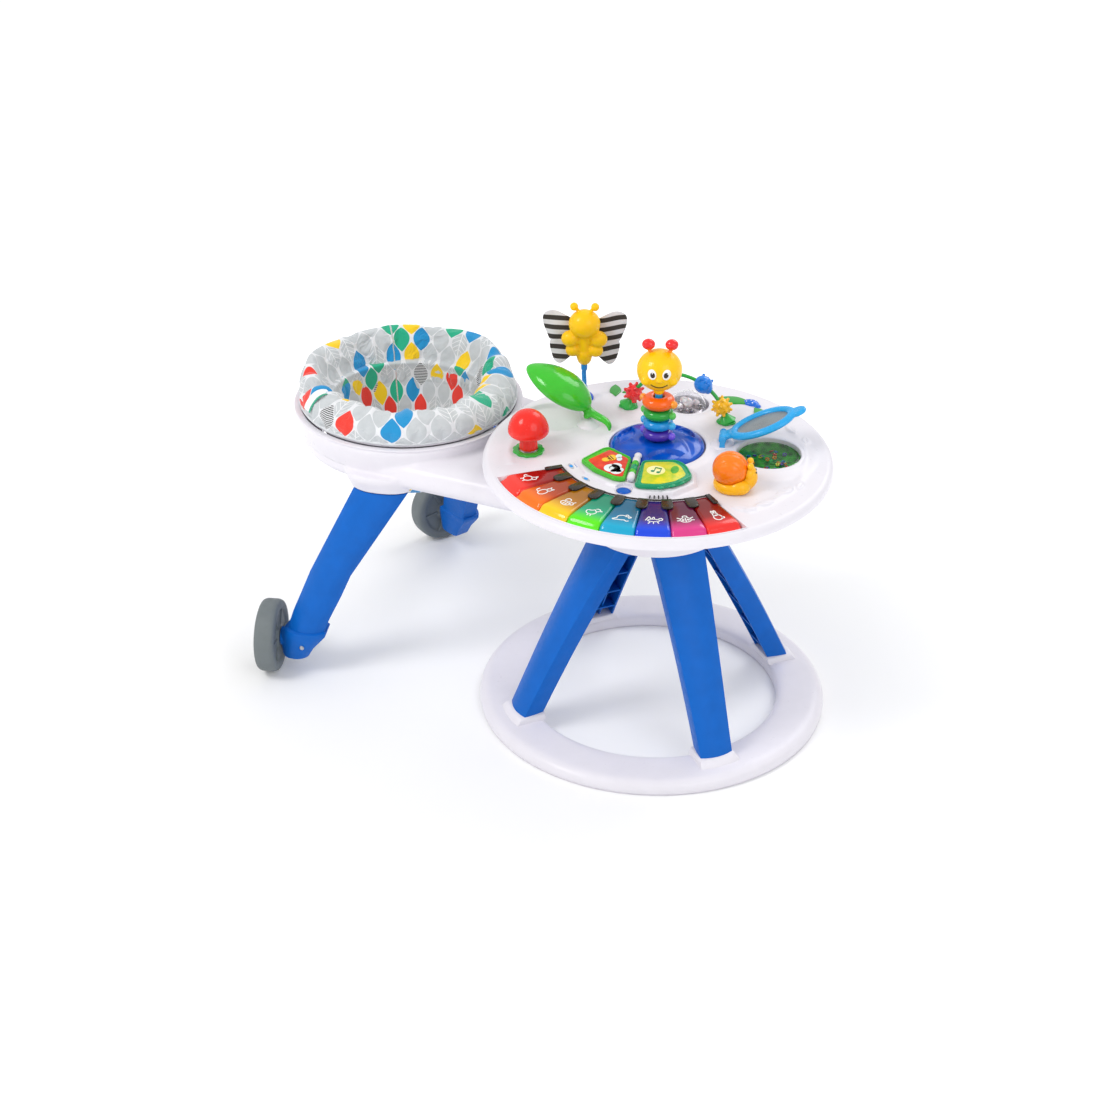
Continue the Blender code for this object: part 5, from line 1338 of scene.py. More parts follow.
# ------------------------------------------------------------------ seat trimmings
def seat_trimmings():
    """The edge band at the hoop and the sewn-in tag."""
    angles = np.linspace(0, 2 * pi, 241)
    wave = 0.0005 * np.sin(angles * 23) + 0.0004 * np.sin(angles * 41 + 1)
    path = np.stack([SEAT_X + (0.1882 + wave * 0.5) * np.cos(angles), (0.1882 + wave * 0.5) * np.sin(angles),
                     0.4556 + wave], 1)
    band = put("seat_edge_band", tube(np.vstack([path, path[1:2]]), 0.0026, 10, caps=False), BINDING, "seat",
               sharp=0)
    tag_angle = SEAT_TURN - radians(74)
    radial, along = np.array((cos(tag_angle), sin(tag_angle),
                              0)), np.array((-sin(tag_angle), cos(tag_angle), 0))
    crest = np.array([(0.15, 0.4975), (0.16, 0.4998), (0.169, 0.499), (0.177, 0.4948), (0.1835, 0.488),
                      (0.1885, 0.48),
                      (0.1912, 0.4715)])
    line = curve_through(crest, 26)
    width = 0.0115
    rows = []
    for i, (r, z) in enumerate(line):
        t = i / (len(line) - 1)
        lift = 0.0016 + 0.0012 * t * t
        row = [np.array((SEAT_X, 0,
                         z + lift * 0.6)) + radial * (r + lift) + along * (w + 0.002 * sin(3 * t)) for w in
               np.linspace(-width, width, 9)]
        rows.append(row)
    top = np.array(rows).reshape(-1, 3)
    low = top - (radial * 0.0007 + np.array((0, 0, 0.0005)))
    n, m = len(rows), 9
    faces = grid_faces(n, m, wrap_cols=False) + [tuple(reversed(f)) for f in grid_faces(n, m, wrap_cols=False,
                                                                                        base=n * m)]
    ring = [i * m for i in range(n)] + [(n - 1) * m + j for j in range(1, m)] + \
           [i * m + m - 1 for i in range(n - 2, -1, -1)] + [j for j in range(m - 2, 0, -1)]
    faces += [(a, b, b + n * m, a + n * m) for a, b in zip(ring, ring[1:] + ring[:1])]
    uv = np.array([(j / (m - 1), i / (n - 1)) for i in range(n) for j in range(m)] * 2)
    tag = put("seat_tag", (np.vstack([top, low]), faces), TAG, "seat", sharp=50, uv=uv)


def tag_cloth():
    """A blank white satin tag with a green edge."""
    s = Shading("tag_cloth")
    split = s.node("ShaderNodeSeparateXYZ")
    s.feed(split.inputs[0], s.node("ShaderNodeUVMap", uv_map="UVMap").outputs[0])
    edge = s.math("GREATER_THAN", split.outputs[0], 0.8)
    tone = s.mix(edge, s.ramp(s.noise(90, 2), [(0.3, srgb("#EDEFF0")), (0.7, srgb("#F6F7F7"))]),
                 srgb("#1E9E7C"))
    return s.set(Base_Color=tone, Roughness=0.55, Normal=s.bump(s.noise(2200, 2), 0.3, 0.0002),
                 Sheen_Weight=0.2)


TAG = tag_cloth()
seat_trimmings()


# ------------------------------------------------------------------ ring stack and dish
def glossy(name, colour, sub=0.0):
    return plastic(name, colour, rough=0.12, coat=0.55, grain=0.04, vary=0.03, wear=0.0, sub=sub)


def dish_material():
    """Deep blue glossy plastic with slightly lighter swirl."""
    s = Shading("dish_blue")
    tone = s.ramp(s.noise(24, 4), [(0.25, srgb("#0040A8")), (0.6, srgb("#0054C6")), (0.85, srgb("#0A6CE0"))])
    gloss = s.between(s.noise(120, 3), 0.2, 0.8, 0.12, 0.2)
    return s.set(Base_Color=tone, Roughness=gloss, Coat_Weight=0.25, Coat_Roughness=0.06,
                 Specular_IOR_Level=0.35,
                 Normal=s.bump(s.noise(40, 2), 0.1, 0.001))


DISH_BLUE = dish_material()


def dish():
    steps, rings = 288, 70
    prof = np.array([(0.009, 0.488), (0.015, 0.4886), (0.024, 0.489), (0.034, 0.49), (0.045, 0.4892),
                     (0.06, 0.4865),
                     (0.07, 0.4832), (0.0755, 0.4798), (0.0778, 0.4762), (0.0778, 0.4738), (0.0755, 0.4716)])
    path = curve_through(prof, rings)
    a = 2 * pi * np.arange(steps) / steps
    rows = []
    for r, z in path:
        dz = np.zeros(steps)
        for k in range(3):  # the lens-shaped finger recesses
            c = radians(-48 + 120 * k)
            cx, cy = 0.054 * cos(c), 0.054 * sin(c)
            x, y = r * np.cos(a) - cx, r * np.sin(a) - cy
            u = x * -sin(c) + y * cos(c)
            v = x * cos(c) + y * sin(c)
            lens_edge = np.abs(v) - 0.013 * (1 - np.clip(np.abs(u) / 0.032, 0, 1.4) ** 2)
            dz -= 0.0062 * soft_step(lens_edge, 0.0028)
        swirl = np.cos(3 * (a - radians(-48)) + (r - 0.053) * 70)
        band = np.exp(-((r - 0.058) / 0.017) ** 2)
        dz -= 0.003 * band * np.clip(np.cos(3 * (a - radians(12)) + (r - 0.05) * 60), 0, 1) ** 8
        dz += 0.0007 * band * swirl
        rows.append(np.stack([r * np.cos(a), r * np.sin(a), z + dz], 1))
    under = [(0.0755, 0.4712), (0.064, 0.4725), (0.009, 0.474)]
    for r, z in under:
        rows.append(np.stack([r * np.cos(a), r * np.sin(a), np.full(steps, z)], 1))
    part = (np.vstack(rows), grid_faces(len(rows), steps, True, True))
    put("dish_bowl", shift(part, DISH), DISH_BLUE, "dish", "spinning_dish", sharp=50)


def ring_stack():
    rings = [("purple", 0.4995, 0.0245, 0.0088, glossy("ring_purple", "#4A2FA8"), "purple",
              glossy("bead_violet", "#7A5BE0", sub=0.2)),
             ("sky", 0.5182, 0.0245, 0.0088, glossy("ring_sky", "#1590DC"), "sky",
              glossy("bead_sky", "#3FB4F2", sub=0.2)),
             ("green", 0.5369, 0.0245, 0.0088, glossy("ring_green", "#22A23C"), "green",
              glossy("bead_green", "#5BCB58", sub=0.2)),
             ("orange", 0.5578, 0.0268, 0.011, glossy("ring_orange", "#F7660C"), "orange",
              glossy("bead_orange", "#FFA030", sub=0.2))]
    for name, z, r, tube_r, mat, slot, bead_mat in rings:
        prof = [(r - tube_r * 1.05 + tube_r * 1.05 * cos(t),
                 tube_r * sin(t) * 0.98) for t in np.linspace(0, 2 * pi, 25)[:-1]]
        prof = [(max(0.0085, rr), zz) for rr, zz in prof]
        ring = lathe(prof, 72, (DISH[0], DISH[1], z))
        # a soft oval waist around the ring
        v = ring[0]
        ang = np.arctan2(v[:, 1] - DISH[1], v[:, 0] - DISH[0])
        out = np.hypot(v[:, 0] - DISH[0], v[:, 1] - DISH[1])
        swell = 1 + 0.02 * np.cos(2 * (ang - radians(28))) * (out > 0.016)
        v[:, 0] = DISH[0] + (v[:, 0] - DISH[0]) * swell
        v[:, 1] = DISH[1] + (v[:, 1] - DISH[1]) * swell
        put(f"ring_{name}_body", (v, ring[1]), mat, f"ring_{name}", f"stack_ring_{name}", sharp=50)
        beads = []
        for k in range(2):
            side = 1 if k else -1
            beads.append(ball(0.0068, (DISH[0] + side * (r + 0.001), DISH[1], z), (1, 1, 1), 24, 16))
            beads.append(capsule((DISH[0] + side * (r - 0.006), DISH[1], z), (DISH[0] + side * r, DISH[1], z),
                                 0.0036, 14))
        put(f"ring_{name}_beads", merge(*beads), bead_mat, f"ring_{name}", sharp=60)
    # square neck standing through the rings
    rows = []
    for z in (0.4745, 0.489, 0.49, 0.578, 0.5792):
        w = 0.0063 if z < 0.579 else 0.0055
        rows.append([(DISH[0] + w * x, DISH[1] + w * y, z) for x, y in
                     ((0.95, 0.25), (0.7, 0.7), (0.25, 0.95), (-0.25, 0.95), (-0.7, 0.7), (-0.95, 0.25),
                      (-0.95, -0.25),
                      (-0.7, -0.7), (-0.25, -0.95), (0.25, -0.95), (0.7, -0.7), (0.95, -0.25))])
    put("stack_neck", loft(rows), SKY, "table", "stack_post", sharp=30)


def face_frame(part, centre, turn_by):
    """From a face's own frame (looking along -Y) to its place on the table."""
    return shift(turn(part, "Z", turn_by), centre)


def stack_head():
    centre = np.array((DISH[0], DISH[1], 0.6147))
    look = radians(28)
    yellow = plastic("head_yellow", "#FFC90A", rough=0.3, coat=0.25, grain=0.05, vary=0.02, wear=0.0, sub=0.05)
    head = ball(0.0372, (0, 0, 0), (1.0, 0.96, 0.93), 72, 44)
    neck = capsule((0, 0, -0.035), (0, 0, -0.025), 0.01, 24)
    cheeks = merge(ball(0.0085, (0.0215, -0.0262, -0.0085), (1, 0.62, 0.9), 24, 16),
                   ball(0.0085, (-0.0215, -0.0262, -0.0085), (1, 0.62, 0.9), 24, 16))
    nose = ball(0.0042, (0, -0.0362, -0.004), (1.2, 0.8, 0.9), 20, 14)
    body = fused(merge(head, neck, cheeks, nose), 0.0012, smooth=5)
    put("head_skin", face_frame(body, centre, look), yellow, "head", "stack_head", sharp=0)
    stalks, tips = [], []
    for side in (-1, 1):
        way = np.array((0.42 * side, 0, 1.0)); way /= np.linalg.norm(way)
        bow = np.array((0.0028 * side, 0, 0))
        pts = curve_through([way * 0.03, way * 0.038 + bow, way * 0.0455 + bow], 12)
        stalks.append(tube(pts, 0.003, 14))
        tips.append(ball(0.01, way * 0.0485, (1.08, 0.95, 0.92), 32, 20))
    put("head_stalks", face_frame(merge(*stalks), centre, look), glossy("stalk_orange", "#F58A1C"), "head",
        sharp=50)
    put("head_tips", face_frame(merge(*tips), centre, look), glossy("tip_red", "#E8282A"), "head",
        sharp=0)

    def on_skin(x, z, lift=0.0):
        """A point of the head's front above the face coordinates."""
        k = 1 - (x / 0.0372) ** 2 - (z / (0.0372 * 0.93)) ** 2
        return np.array((x, -0.0372 * 0.96 * sqrt(max(0.0, k)) - lift, z))

    whites, pupils, sparks = [], [], []
    for side in (-1, 1):
        eye = on_skin(0.0118 * side, 0.0065)
        outward = eye / np.linalg.norm(eye)
        whites.append(shift(aim(ball(0.0078, (0, 0, 0), (0.92, 1.12, 0.24), 32, 18), outward), eye))
        pupils.append(shift(aim(ball(0.0048, (0, 0, 0.0), (0.95, 1.1, 0.3), 28, 16), outward),
                            eye + outward * 0.0014 + np.array((-0.0012 * side, 0, -0.0006))))
        sparks.append(ball(0.0011, tuple(eye + outward * 0.0028 + np.array((0.0012, 0, 0.0024))), (1, 1, 1),
                           12, 8))
    put("head_eye_whites", face_frame(merge(*whites), centre, look), INK_WHITE, "head", sharp=0)
    put("head_pupils", face_frame(merge(*pupils), centre, look), BLACK, "head", sharp=0)
    put("head_eye_sparks", face_frame(merge(*sparks), centre, look), INK_WHITE, "head", sharp=0)
    smile = [on_skin(0.0135 * t, -0.0125 - 0.0052 * (1 - t * t), 0.0002) for t in np.linspace(-1, 1, 25)]
    put("head_smile", face_frame(tube(smile, 0.0009, 8), centre, look), BLACK, "head", sharp=0)


dish()
ring_stack()
stack_head()


# ------------------------------------------------------------------ butterfly
def butterfly():
    foot = np.array((-0.208, 0.114, 0.0))
    base = fillet([(0, 0.4748), (0.0172, 0.4748), (0.0172, 0.4768), (0.015, 0.4815), (0.0095, 0.486),
                   (0.0065, 0.488), (0, 0.4885)], 0.003, 4)
    put("butterfly_foot", lathe(base, 56, foot, closed=False), glossy("foot_blue", "#0A50D2"), "table",
        "butterfly_base")
    pivot = foot + np.array((0, 0, 0.4898))
    look = radians(28)
    rod = curve_through([(0, 0, 0.0005), (0.0004, 0, 0.015), (-0.0004, 0, 0.032), (0, 0, 0.046)], 24)
    sleeve = fused(merge(tube(rod, 0.0042, 20), capsule((0, 0, 0.0005), (0, 0, 0.006), 0.0062, 20),
                         capsule((0, 0, 0.042), (0, 0, 0.048), 0.0056, 20)), 0.0008, smooth=4)
    put("butterfly_stalk", face_frame(sleeve, pivot, look), glossy("stalk_sky", "#1685D8"), "butterfly",
        "butterfly_stem", sharp=0)
    parts = [ball(0.0262, (0, -0.004, 0.127), (1.03, 0.95, 0.95), 48, 30),
             capsule((0, 0, 0.062), (0, 0, 0.104), 0.0128, 28),
             ball(0.0145, (0, -0.002, 0.068), (0.95, 0.9, 1.15), 32, 20)]
    for side in (-1, 1):
        parts.append(ball(0.0152, (0.0235 * side, -0.006, 0.1), (1.05, 0.9, 0.95), 32, 20))
        parts.append(ball(0.0122, (0.0195 * side, -0.006, 0.079), (1.05, 0.9, 0.95), 32, 20))
        parts.append(capsule((0.006 * side, -0.003, 0.096), (0.02 * side, -0.005, 0.099), 0.0085, 20))
        parts.append(tube(curve_through([(0.008 * side, -0.004, 0.148), (0.013 * side, -0.004, 0.1535),
                                         (0.0175 * side, -0.004, 0.1575)], 10), 0.003, 14))
        parts.append(ball(0.0073, (0.0178 * side, -0.004, 0.1582), (1, 1, 1), 24, 16))
    plush = fused(merge(*parts), 0.0012, smooth=9, factor=0.55)
    yellow = plastic("butterfly_yellow", "#FFC60C", rough=0.35, coat=0.15, grain=0.06, vary=0.03, wear=0.0,
                     sub=0.05)
    put("butterfly_plush", face_frame(plush, pivot, look), yellow, "butterfly", "butterfly_body",
        sharp=0)
    # wings: two padded cloth shapes a side, sewn to the back of the body
    upper = [(0.006, 0.104), (0.014, 0.121), (0.028, 0.133), (0.043, 0.1405), (0.056, 0.1435), (0.067, 0.14),
             (0.0718, 0.13),
             (0.07, 0.115), (0.065, 0.1), (0.059, 0.088), (0.046, 0.08), (0.024, 0.082), (0.006, 0.09)]
    lower = [(0.006, 0.096), (0.02, 0.095), (0.038, 0.0955), (0.054, 0.0935), (0.06, 0.083), (0.0575, 0.066),
             (0.0525, 0.052), (0.045, 0.0462), (0.037, 0.048), (0.025, 0.0585), (0.012, 0.072), (0.006, 0.08)]
    skins, uvs = [], []
    for side in (-1, 1):
        for outline, depth in ((upper, 0.0138), (lower, 0.0125)):
            edge = curve_through(outline, 90, closed=True)
            centre = edge.mean(axis=0)
            rows, uv_rows = [], []
            for k, f in enumerate((1.0, 0.985, 0.95, 0.88, 0.75, 0.55, 0.3, 0.08)):
                ring = centre + (edge - centre) * f
                puff = 0.0024 * sqrt(max(0.0, 1 - f ** 2.2)) + 0.00035
                ripple = 0.0011 * np.sin(ring[:, 0] * 160 + ring[:, 1] * 90) * f
                ripple = ripple + 0.0016 * np.sin(ring[:, 1] * 75 + 1.0) * f
                rows.append((ring, puff, ripple))
            stack = [(r, -p, w) for r, p, w in rows[::-1]] + [(r, p, w) for r, p, w in rows]
            verts = []
            for ring, puff, ripple in stack:
                verts.append(np.stack([ring[:, 0] * side,
                                       depth + puff + ripple + 0.05 * (ring[:, 0] - 0.006) ** 1.0 * 0.35,
                                       ring[:, 1]], 1))
                uv_rows.append(np.stack([ring[:, 0] * side, ring[:, 1]], 1))
            skins.append(loft(verts))
            uvs.append(np.vstack(uv_rows))
    wings = face_frame(merge(*skins), pivot, look)
    cloth = put("butterfly_wings_cloth", wings, STRIPES, "butterfly", "butterfly_wings", sharp=0,
                uv=np.vstack(uvs))


butterfly()


# ------------------------------------------------------------------ leaf flap
def leaf():
    pivot = np.array((-0.15, 0.03, 0.4965))
    heading, tilt = radians(190), radians(-25)

    def place(part):
        return shift(turn(turn(part, "Y", tilt), "Z", heading), pivot)

    rows, steps = [], 72
    n = 52
    for i in range(n + 1):
        t = i / n
        x = 0.002 + 0.128 * t
        full = sin(pi * t ** 0.86) ** 0.6 if 0 < t < 1 else 0.0
        w, h = 0.0008 + 0.0415 * full, 0.0008 + 0.0265 * full
        z = 0.015 - 0.004 * (1 - t) ** 3
        row = []
        for k in range(steps):
            a = 2 * pi * k / steps
            ca, sa = cos(a), sin(a)
            row.append((x, w * ca, z + h * sa * (1.0 if sa > 0 else 0.62)))
        rows.append(row)
    blade = loft(rows)
    bend = curve_through([(0.024, 0, 0.012), (0.01, 0, 0.007), (-0.004, 0.001, 0.005), (-0.018, 0.004, 0.0075),
                          (-0.031, 0.008, 0.0105),
                          (-0.041, 0.0125, 0.0095), (-0.047, 0.0165, 0.003)], 48)
    stalk = tube(bend, np.interp(np.linspace(0, 1, 48), [0, 0.25, 0.6, 0.85, 1],
                                 [0.0125, 0.0092, 0.0078, 0.0056, 0.0022]), 28, flat=0.72)
    knuckle = turn(capsule((0, 0, -0.0085), (0, 0, 0.0085), 0.006, 24), "X", pi / 2)
    skin = fused(merge(blade, stalk, knuckle), 0.0016, smooth=6)
    green = plastic("leaf_green", "#3DBE2C", rough=0.16, coat=0.5, grain=0.04, vary=0.06, wear=0.0, sub=0.08)
    put("leaf_shell", place(skin), green, "leaf", "leaf_flap", sharp=0)
    # white knuckle that the leaf hinges on
    post = fused(merge(lathe(fillet([(0, 0.4735), (0.02, 0.4735), (0.018, 0.4775), (0.0125, 0.4825),
                                     (0.0078, 0.4878), (0, 0.4893)], 0.003, 4), 56, (-0.15, 0.03, 0),
                                     closed=False),
                       ball(0.008, (-0.15, 0.03, 0.4835), (1.2, 1.2, 0.8), 32, 20)), 0.001, smooth=5)
    put("leaf_knuckle", post, WHITE, "table", sharp=0)


# ------------------------------------------------------------------ mushroom
def mushroom():
    c = np.array(MUSHROOM)
    outline = [((0.0258 + 0.0008 * cos(11 * a)) * cos(a) + c[0],
                (0.0258 + 0.0008 * cos(11 * a)) * sin(a) + c[1]) for a in np.linspace(0, 2 * pi, 133)[:-1]]
    collar = slab(outline, 0.4752, 0.4792, 0.0014, 3)
    collar = carve(collar, [drum(0.0166, 0.4, 0.6, c[:2], 64)])
    put("mushroom_ring", collar, glossy("collar_green", "#2FAE3A"), "table", "mushroom_collar",
        sharp=40)
    rows = []
    steps = 96
    for z, r in ((0.4805, 0.0135), (0.4812, 0.015), (0.484, 0.0155), (0.49, 0.015), (0.498, 0.0147),
                 (0.506, 0.0152), (0.511, 0.016), (0.5135, 0.015)):
        flute = [(1 - 0.055 * (0.5 + 0.5 * cos(10 * 2 * pi * k / steps)) ** 3) * r for k in range(steps)]
        rows.append([(c[0] + f * cos(2 * pi * k / steps), c[1] + f * sin(2 * pi * k / steps), z) for k,
                     f in enumerate(flute)])
    stem = loft(rows)
    cap = [(0.0, 0.507), (0.015, 0.5068), (0.024, 0.5062), (0.03, 0.5072), (0.0332, 0.5105), (0.034, 0.5155),
           (0.0328, 0.5225),
           (0.0295, 0.531), (0.0245, 0.5385), (0.0175, 0.545), (0.0095, 0.5484), (0.0, 0.5494)]
    prof = curve_through(cap, 60)
    prof[0][0] = prof[-1][0] = 0
    dome = lathe([tuple(p) for p in prof], 96, c, closed=False)
    v = dome[0]
    a = np.arctan2(v[:, 1] - c[1], v[:, 0] - c[0])
    lobes = 1 - 0.012 * np.clip(np.cos(5 * a), 0, 1) ** 4 * (v[:, 2] > 0.512)
    v[:, 0] = c[0] + (v[:, 0] - c[0]) * lobes
    v[:, 1] = c[1] + (v[:, 1] - c[1]) * lobes
    red = plastic("mushroom_red", "#EE2A20", rough=0.24, coat=0.35, grain=0.05, vary=0.04, wear=0.0, sub=0.05)
    put("mushroom_body", merge(stem, (v, dome[1])), red, "mushroom", "mushroom", sharp=50)


leaf()
mushroom()


# ------------------------------------------------------------------ bead arch
ARCH_START, ARCH_END = np.array((-0.126, 0.126)), np.array((0.044, 0.16))
ARCH_R, ARCH_Z = 0.0876, 0.4624


def arch_point(angle):
    """Angle from straight up, toward the end foot, in degrees."""
    mid, way = (ARCH_START + ARCH_END) / 2, (ARCH_END - ARCH_START) / np.linalg.norm(ARCH_END - ARCH_START)
    a = radians(angle)
    return np.array((*(mid + way * ARCH_R * sin(a)), ARCH_Z + ARCH_R * cos(a)))


def arch_along(angle):
    way = (ARCH_END - ARCH_START) / np.linalg.norm(ARCH_END - ARCH_START)
    a = radians(angle)
    return np.array((*(way * cos(a)), -sin(a)))


def spiky(centre, axis, radius, colour_name, mat, body, node):
    """A ball of short knobs, bored along its axis for the rod."""
    core = ball(radius * 0.88, (0, 0, 0), (1, 1, 1), 40, 26)
    parts = [core]
    for i in range(24):  # knobs spread evenly over the ball
        zz = 1 - (i + 0.5) * 2 / 24
        a = i * 2.399963
        d = np.array((sqrt(1 - zz * zz) * cos(a), sqrt(1 - zz * zz) * sin(a), zz))
        if abs(zz) > 0.95:
            continue
        parts.append(capsule(d * radius * 0.6, d * (radius + 0.0008), 0.004, 12, 0.0026))
    skin = fused(merge(*parts), 0.0009, smooth=3)
    skin = carve(skin, [drum(0.004, -0.04, 0.04, steps=32)])
    put(f"{colour_name}_knobbly_ball", shift(aim(skin, axis), centre), mat, body, node, sharp=60)


def bead_arch():
    path = [arch_point(a) for a in np.linspace(-82, 82, 90)]
    rod = tube(path, 0.0032, 20)
    parts = [rod]
    for foot in (ARCH_START, ARCH_END):
        petals = []
        for a in np.linspace(0, 2 * pi, 121)[:-1]:
            r = 0.016 + 0.0012 * cos(5 * a)
            petals.append((foot[0] + r * cos(a), foot[1] + r * sin(a)))
        parts.append(slab(petals, 0.4752, 0.479, 0.0016, 3))
    put("arch_wire", merge(*parts), glossy("arch_green", "#27A844"), "table", "bead_rod", sharp=45)
    cones = []
    for foot, angle in ((ARCH_START, -71.5), (ARCH_END, 71.5)):
        base = np.array((*foot, 0.4785))
        tip = arch_point(angle)
        prof = np.linspace(0, 1, 14)
        pts = [base + (tip - base) * t for t in prof]
        cones.append(tube(pts, [0.0115 * (1 - t) ** 1.2 + 0.0048 for t in prof], 32))
    put("arch_cones", merge(*cones), glossy("arch_cone_green", "#33B54A"), "table", sharp=50)
    spiky(arch_point(-62.5), arch_along(-62.5), 0.016, "red", glossy("spiky_red", "#E92A2E", sub=0.05),
          "red_ball", "red_spiky_ball")
    spiky(arch_point(62.5), arch_along(62.5), 0.016, "yellow", glossy("spiky_yellow", "#FDBE10", sub=0.05),
          "yellow_ball", "yellow_spiky_ball")
    # the blue beetle bead
    wing = ball(0.0152, (0, 0, 0), (1.0, 0.96, 1.06), 40, 26)
    parts = [wing, ball(0.008, (0.002, 0, 0.0125), (1, 1, 0.8), 24, 16)]
    for k in range(6):
        a = radians(-60 + 60 * (k % 3)) * 0.9
        s = 1 if k < 3 else -1
        parts.append(capsule((0.004, s * 0.009, 0.0085 * (k % 3 - 1)),
                             (-0.0105, s * 0.0118, 0.0085 * (k % 3 - 1)), 0.0026, 10))
    beetle = fused(merge(*parts), 0.0009, smooth=4)
    beetle = carve(beetle, [drum(0.0042, -0.04, 0.04, steps=32)])
    along = arch_along(30)
    put("beetle_bead", shift(aim(beetle, along), arch_point(30)), glossy("beetle_blue", "#1A7FE0"),
        "blue_bead", "blue_bead", sharp=60)


# ------------------------------------------------------------------ bubble dome
def glass(name, tint, rough=0.03, clear=0.96):
    s = Shading(name)
    gloss = s.between(s.noise(90, 3), 0.3, 0.7, rough, rough + 0.02)
    return s.set(Base_Color=srgb(tint), Roughness=gloss, Transmission_Weight=clear, IOR=1.18,
                 Specular_IOR_Level=0.5,
                 Normal=s.bump(s.noise(30, 2), 0.03, 0.0008))


def silver():
    s = Shading("silver_film")
    tone = s.ramp(s.noise(60, 5), [(0.3, srgb("#8F8A90")), (0.55, srgb("#CFC9CE")), (0.75, srgb("#F0EDEE"))])
    return s.set(Base_Color=tone, Metallic=0.85, Roughness=s.between(s.noise(90, 3), 0.3, 0.7, 0.18, 0.4),
                 Normal=s.bump(s.noise(260, 3), 0.4, 0.0006))


def pearl():
    s = Shading("pearl")
    tone = s.ramp(s.noise(35, 3), [(0.3, srgb("#E7DEE4")), (0.7, srgb("#FBF6F2"))])
    return s.set(Base_Color=tone, Roughness=0.16, Coat_Weight=0.6, Coat_Roughness=0.05, Subsurface_Weight=0.15,
                 Subsurface_Scale=0.003, Normal=s.bump(s.noise(120, 2), 0.05, 0.0005))


CLEAR = glass("dome_clear", "#FBFBFD")


def bubble_dome():
    c = np.array(DOME)
    outer = [(0.0338, 0.4682)] + [(0.0338 * cos(t),
                                   0.469 + 0.033 * sin(t)) for t in np.linspace(0.08, pi / 2, 22)]
    inner = [(0.0318 * cos(t), 0.469 + 0.031 * sin(t)) for t in np.linspace(pi / 2, 0.0, 22)]
    outer[-1], inner[0] = (0, outer[-1][1]), (0, inner[0][1])
    shell = merge(lathe(outer + inner + [(0.0318, 0.4682)], 72, c))
    put("bubble_shell", shell, CLEAR, "table", "clear_dome", sharp=60)
    dish_part = lathe(fillet([(0, 0.4676), (0.0262, 0.4676), (0.0266, 0.47), (0.0225, 0.4712), (0.01, 0.4722),
                              (0, 0.4728)], 0.001, 3), 64, c, closed=False)
    parts = [dish_part]
    for k in range(6):
        a = pi / 3 * k + 0.4
        fin = slab([(0.006, -0.0007), (0.0245, -0.0016), (0.0245, 0.0016), (0.006, 0.0007)], 0.4716, 0.4795,
                   0.0006, 2)
        parts.append(shift(turn(fin, "Z", a), c))
    put("bubble_tray", merge(*parts), silver(), "dome_spinner", "dome_spinner", sharp=40)
    balls = []
    for x, y, z, r in ((0.004, -0.006, 0.4845, 0.0088), (-0.011, 0.006, 0.4802, 0.0066),
                       (0.012, 0.009, 0.4798, 0.006), (-0.006, -0.015, 0.4788, 0.0052)):
        balls.append(ball(r, (c[0] + x, c[1] + y, z), (1, 1, 1), 28, 18))
    put("bubble_balls", merge(*balls), pearl(), "dome_spinner", sharp=0)


# ------------------------------------------------------------------ book
def spine_frame(part):
    """From the book's own frame (x along the spine, +y right of it) to the table frame."""
    v = np.array(part[0], float)
    out = v.copy()
    out[:, 0] = SPINE_START[0] + SPINE_DIR[0] * v[:, 0] + SPINE_SIDE[0] * v[:, 1]
    out[:, 1] = SPINE_START[1] + SPINE_DIR[1] * v[:, 0] + SPINE_SIDE[1] * v[:, 1]
    return out, [tuple(reversed(f)) for f in part[1]]


def rounded(outline, radius):
    return fillet(outline, radius, 6, closed=True)


def shrink(outline, d):
    o = np.array(outline, float)
    area = np.sum(o[:, 0] * np.roll(o[:, 1], -1) - np.roll(o[:, 0], -1) * o[:, 1])
    if area < 0:
        o = o[::-1]
    out = []
    n = len(o)
    for i in range(n):
        a, p, b = o[i - 1], o[i], o[(i + 1) % n]
        u, v = (p - a) / np.linalg.norm(p - a), (b - p) / np.linalg.norm(b - p)
        nrm = np.array([-(u[1] + v[1]), u[0] + v[0]])
        nrm /= np.linalg.norm(nrm)
        out.append(tuple(p + nrm * d / max(0.5, nrm.dot(np.array([-u[1], u[0]])))))
    return out


def page_print(name, low, high):
    """A printed panel: speckled ground with soft colour patches and paper-fine grain."""
    s = Shading(name)
    tone = s.ramp(s.noise(70, 4), [(0.3, srgb(low)), (0.62, srgb(high))])
    return s.set(Base_Color=tone, Roughness=s.between(s.noise(200, 2), 0.3, 0.7, 0.3, 0.42), Coat_Weight=0.2,
                 Normal=s.bump(s.noise(1500, 2), 0.1, 0.0001), Specular_IOR_Level=0.25)


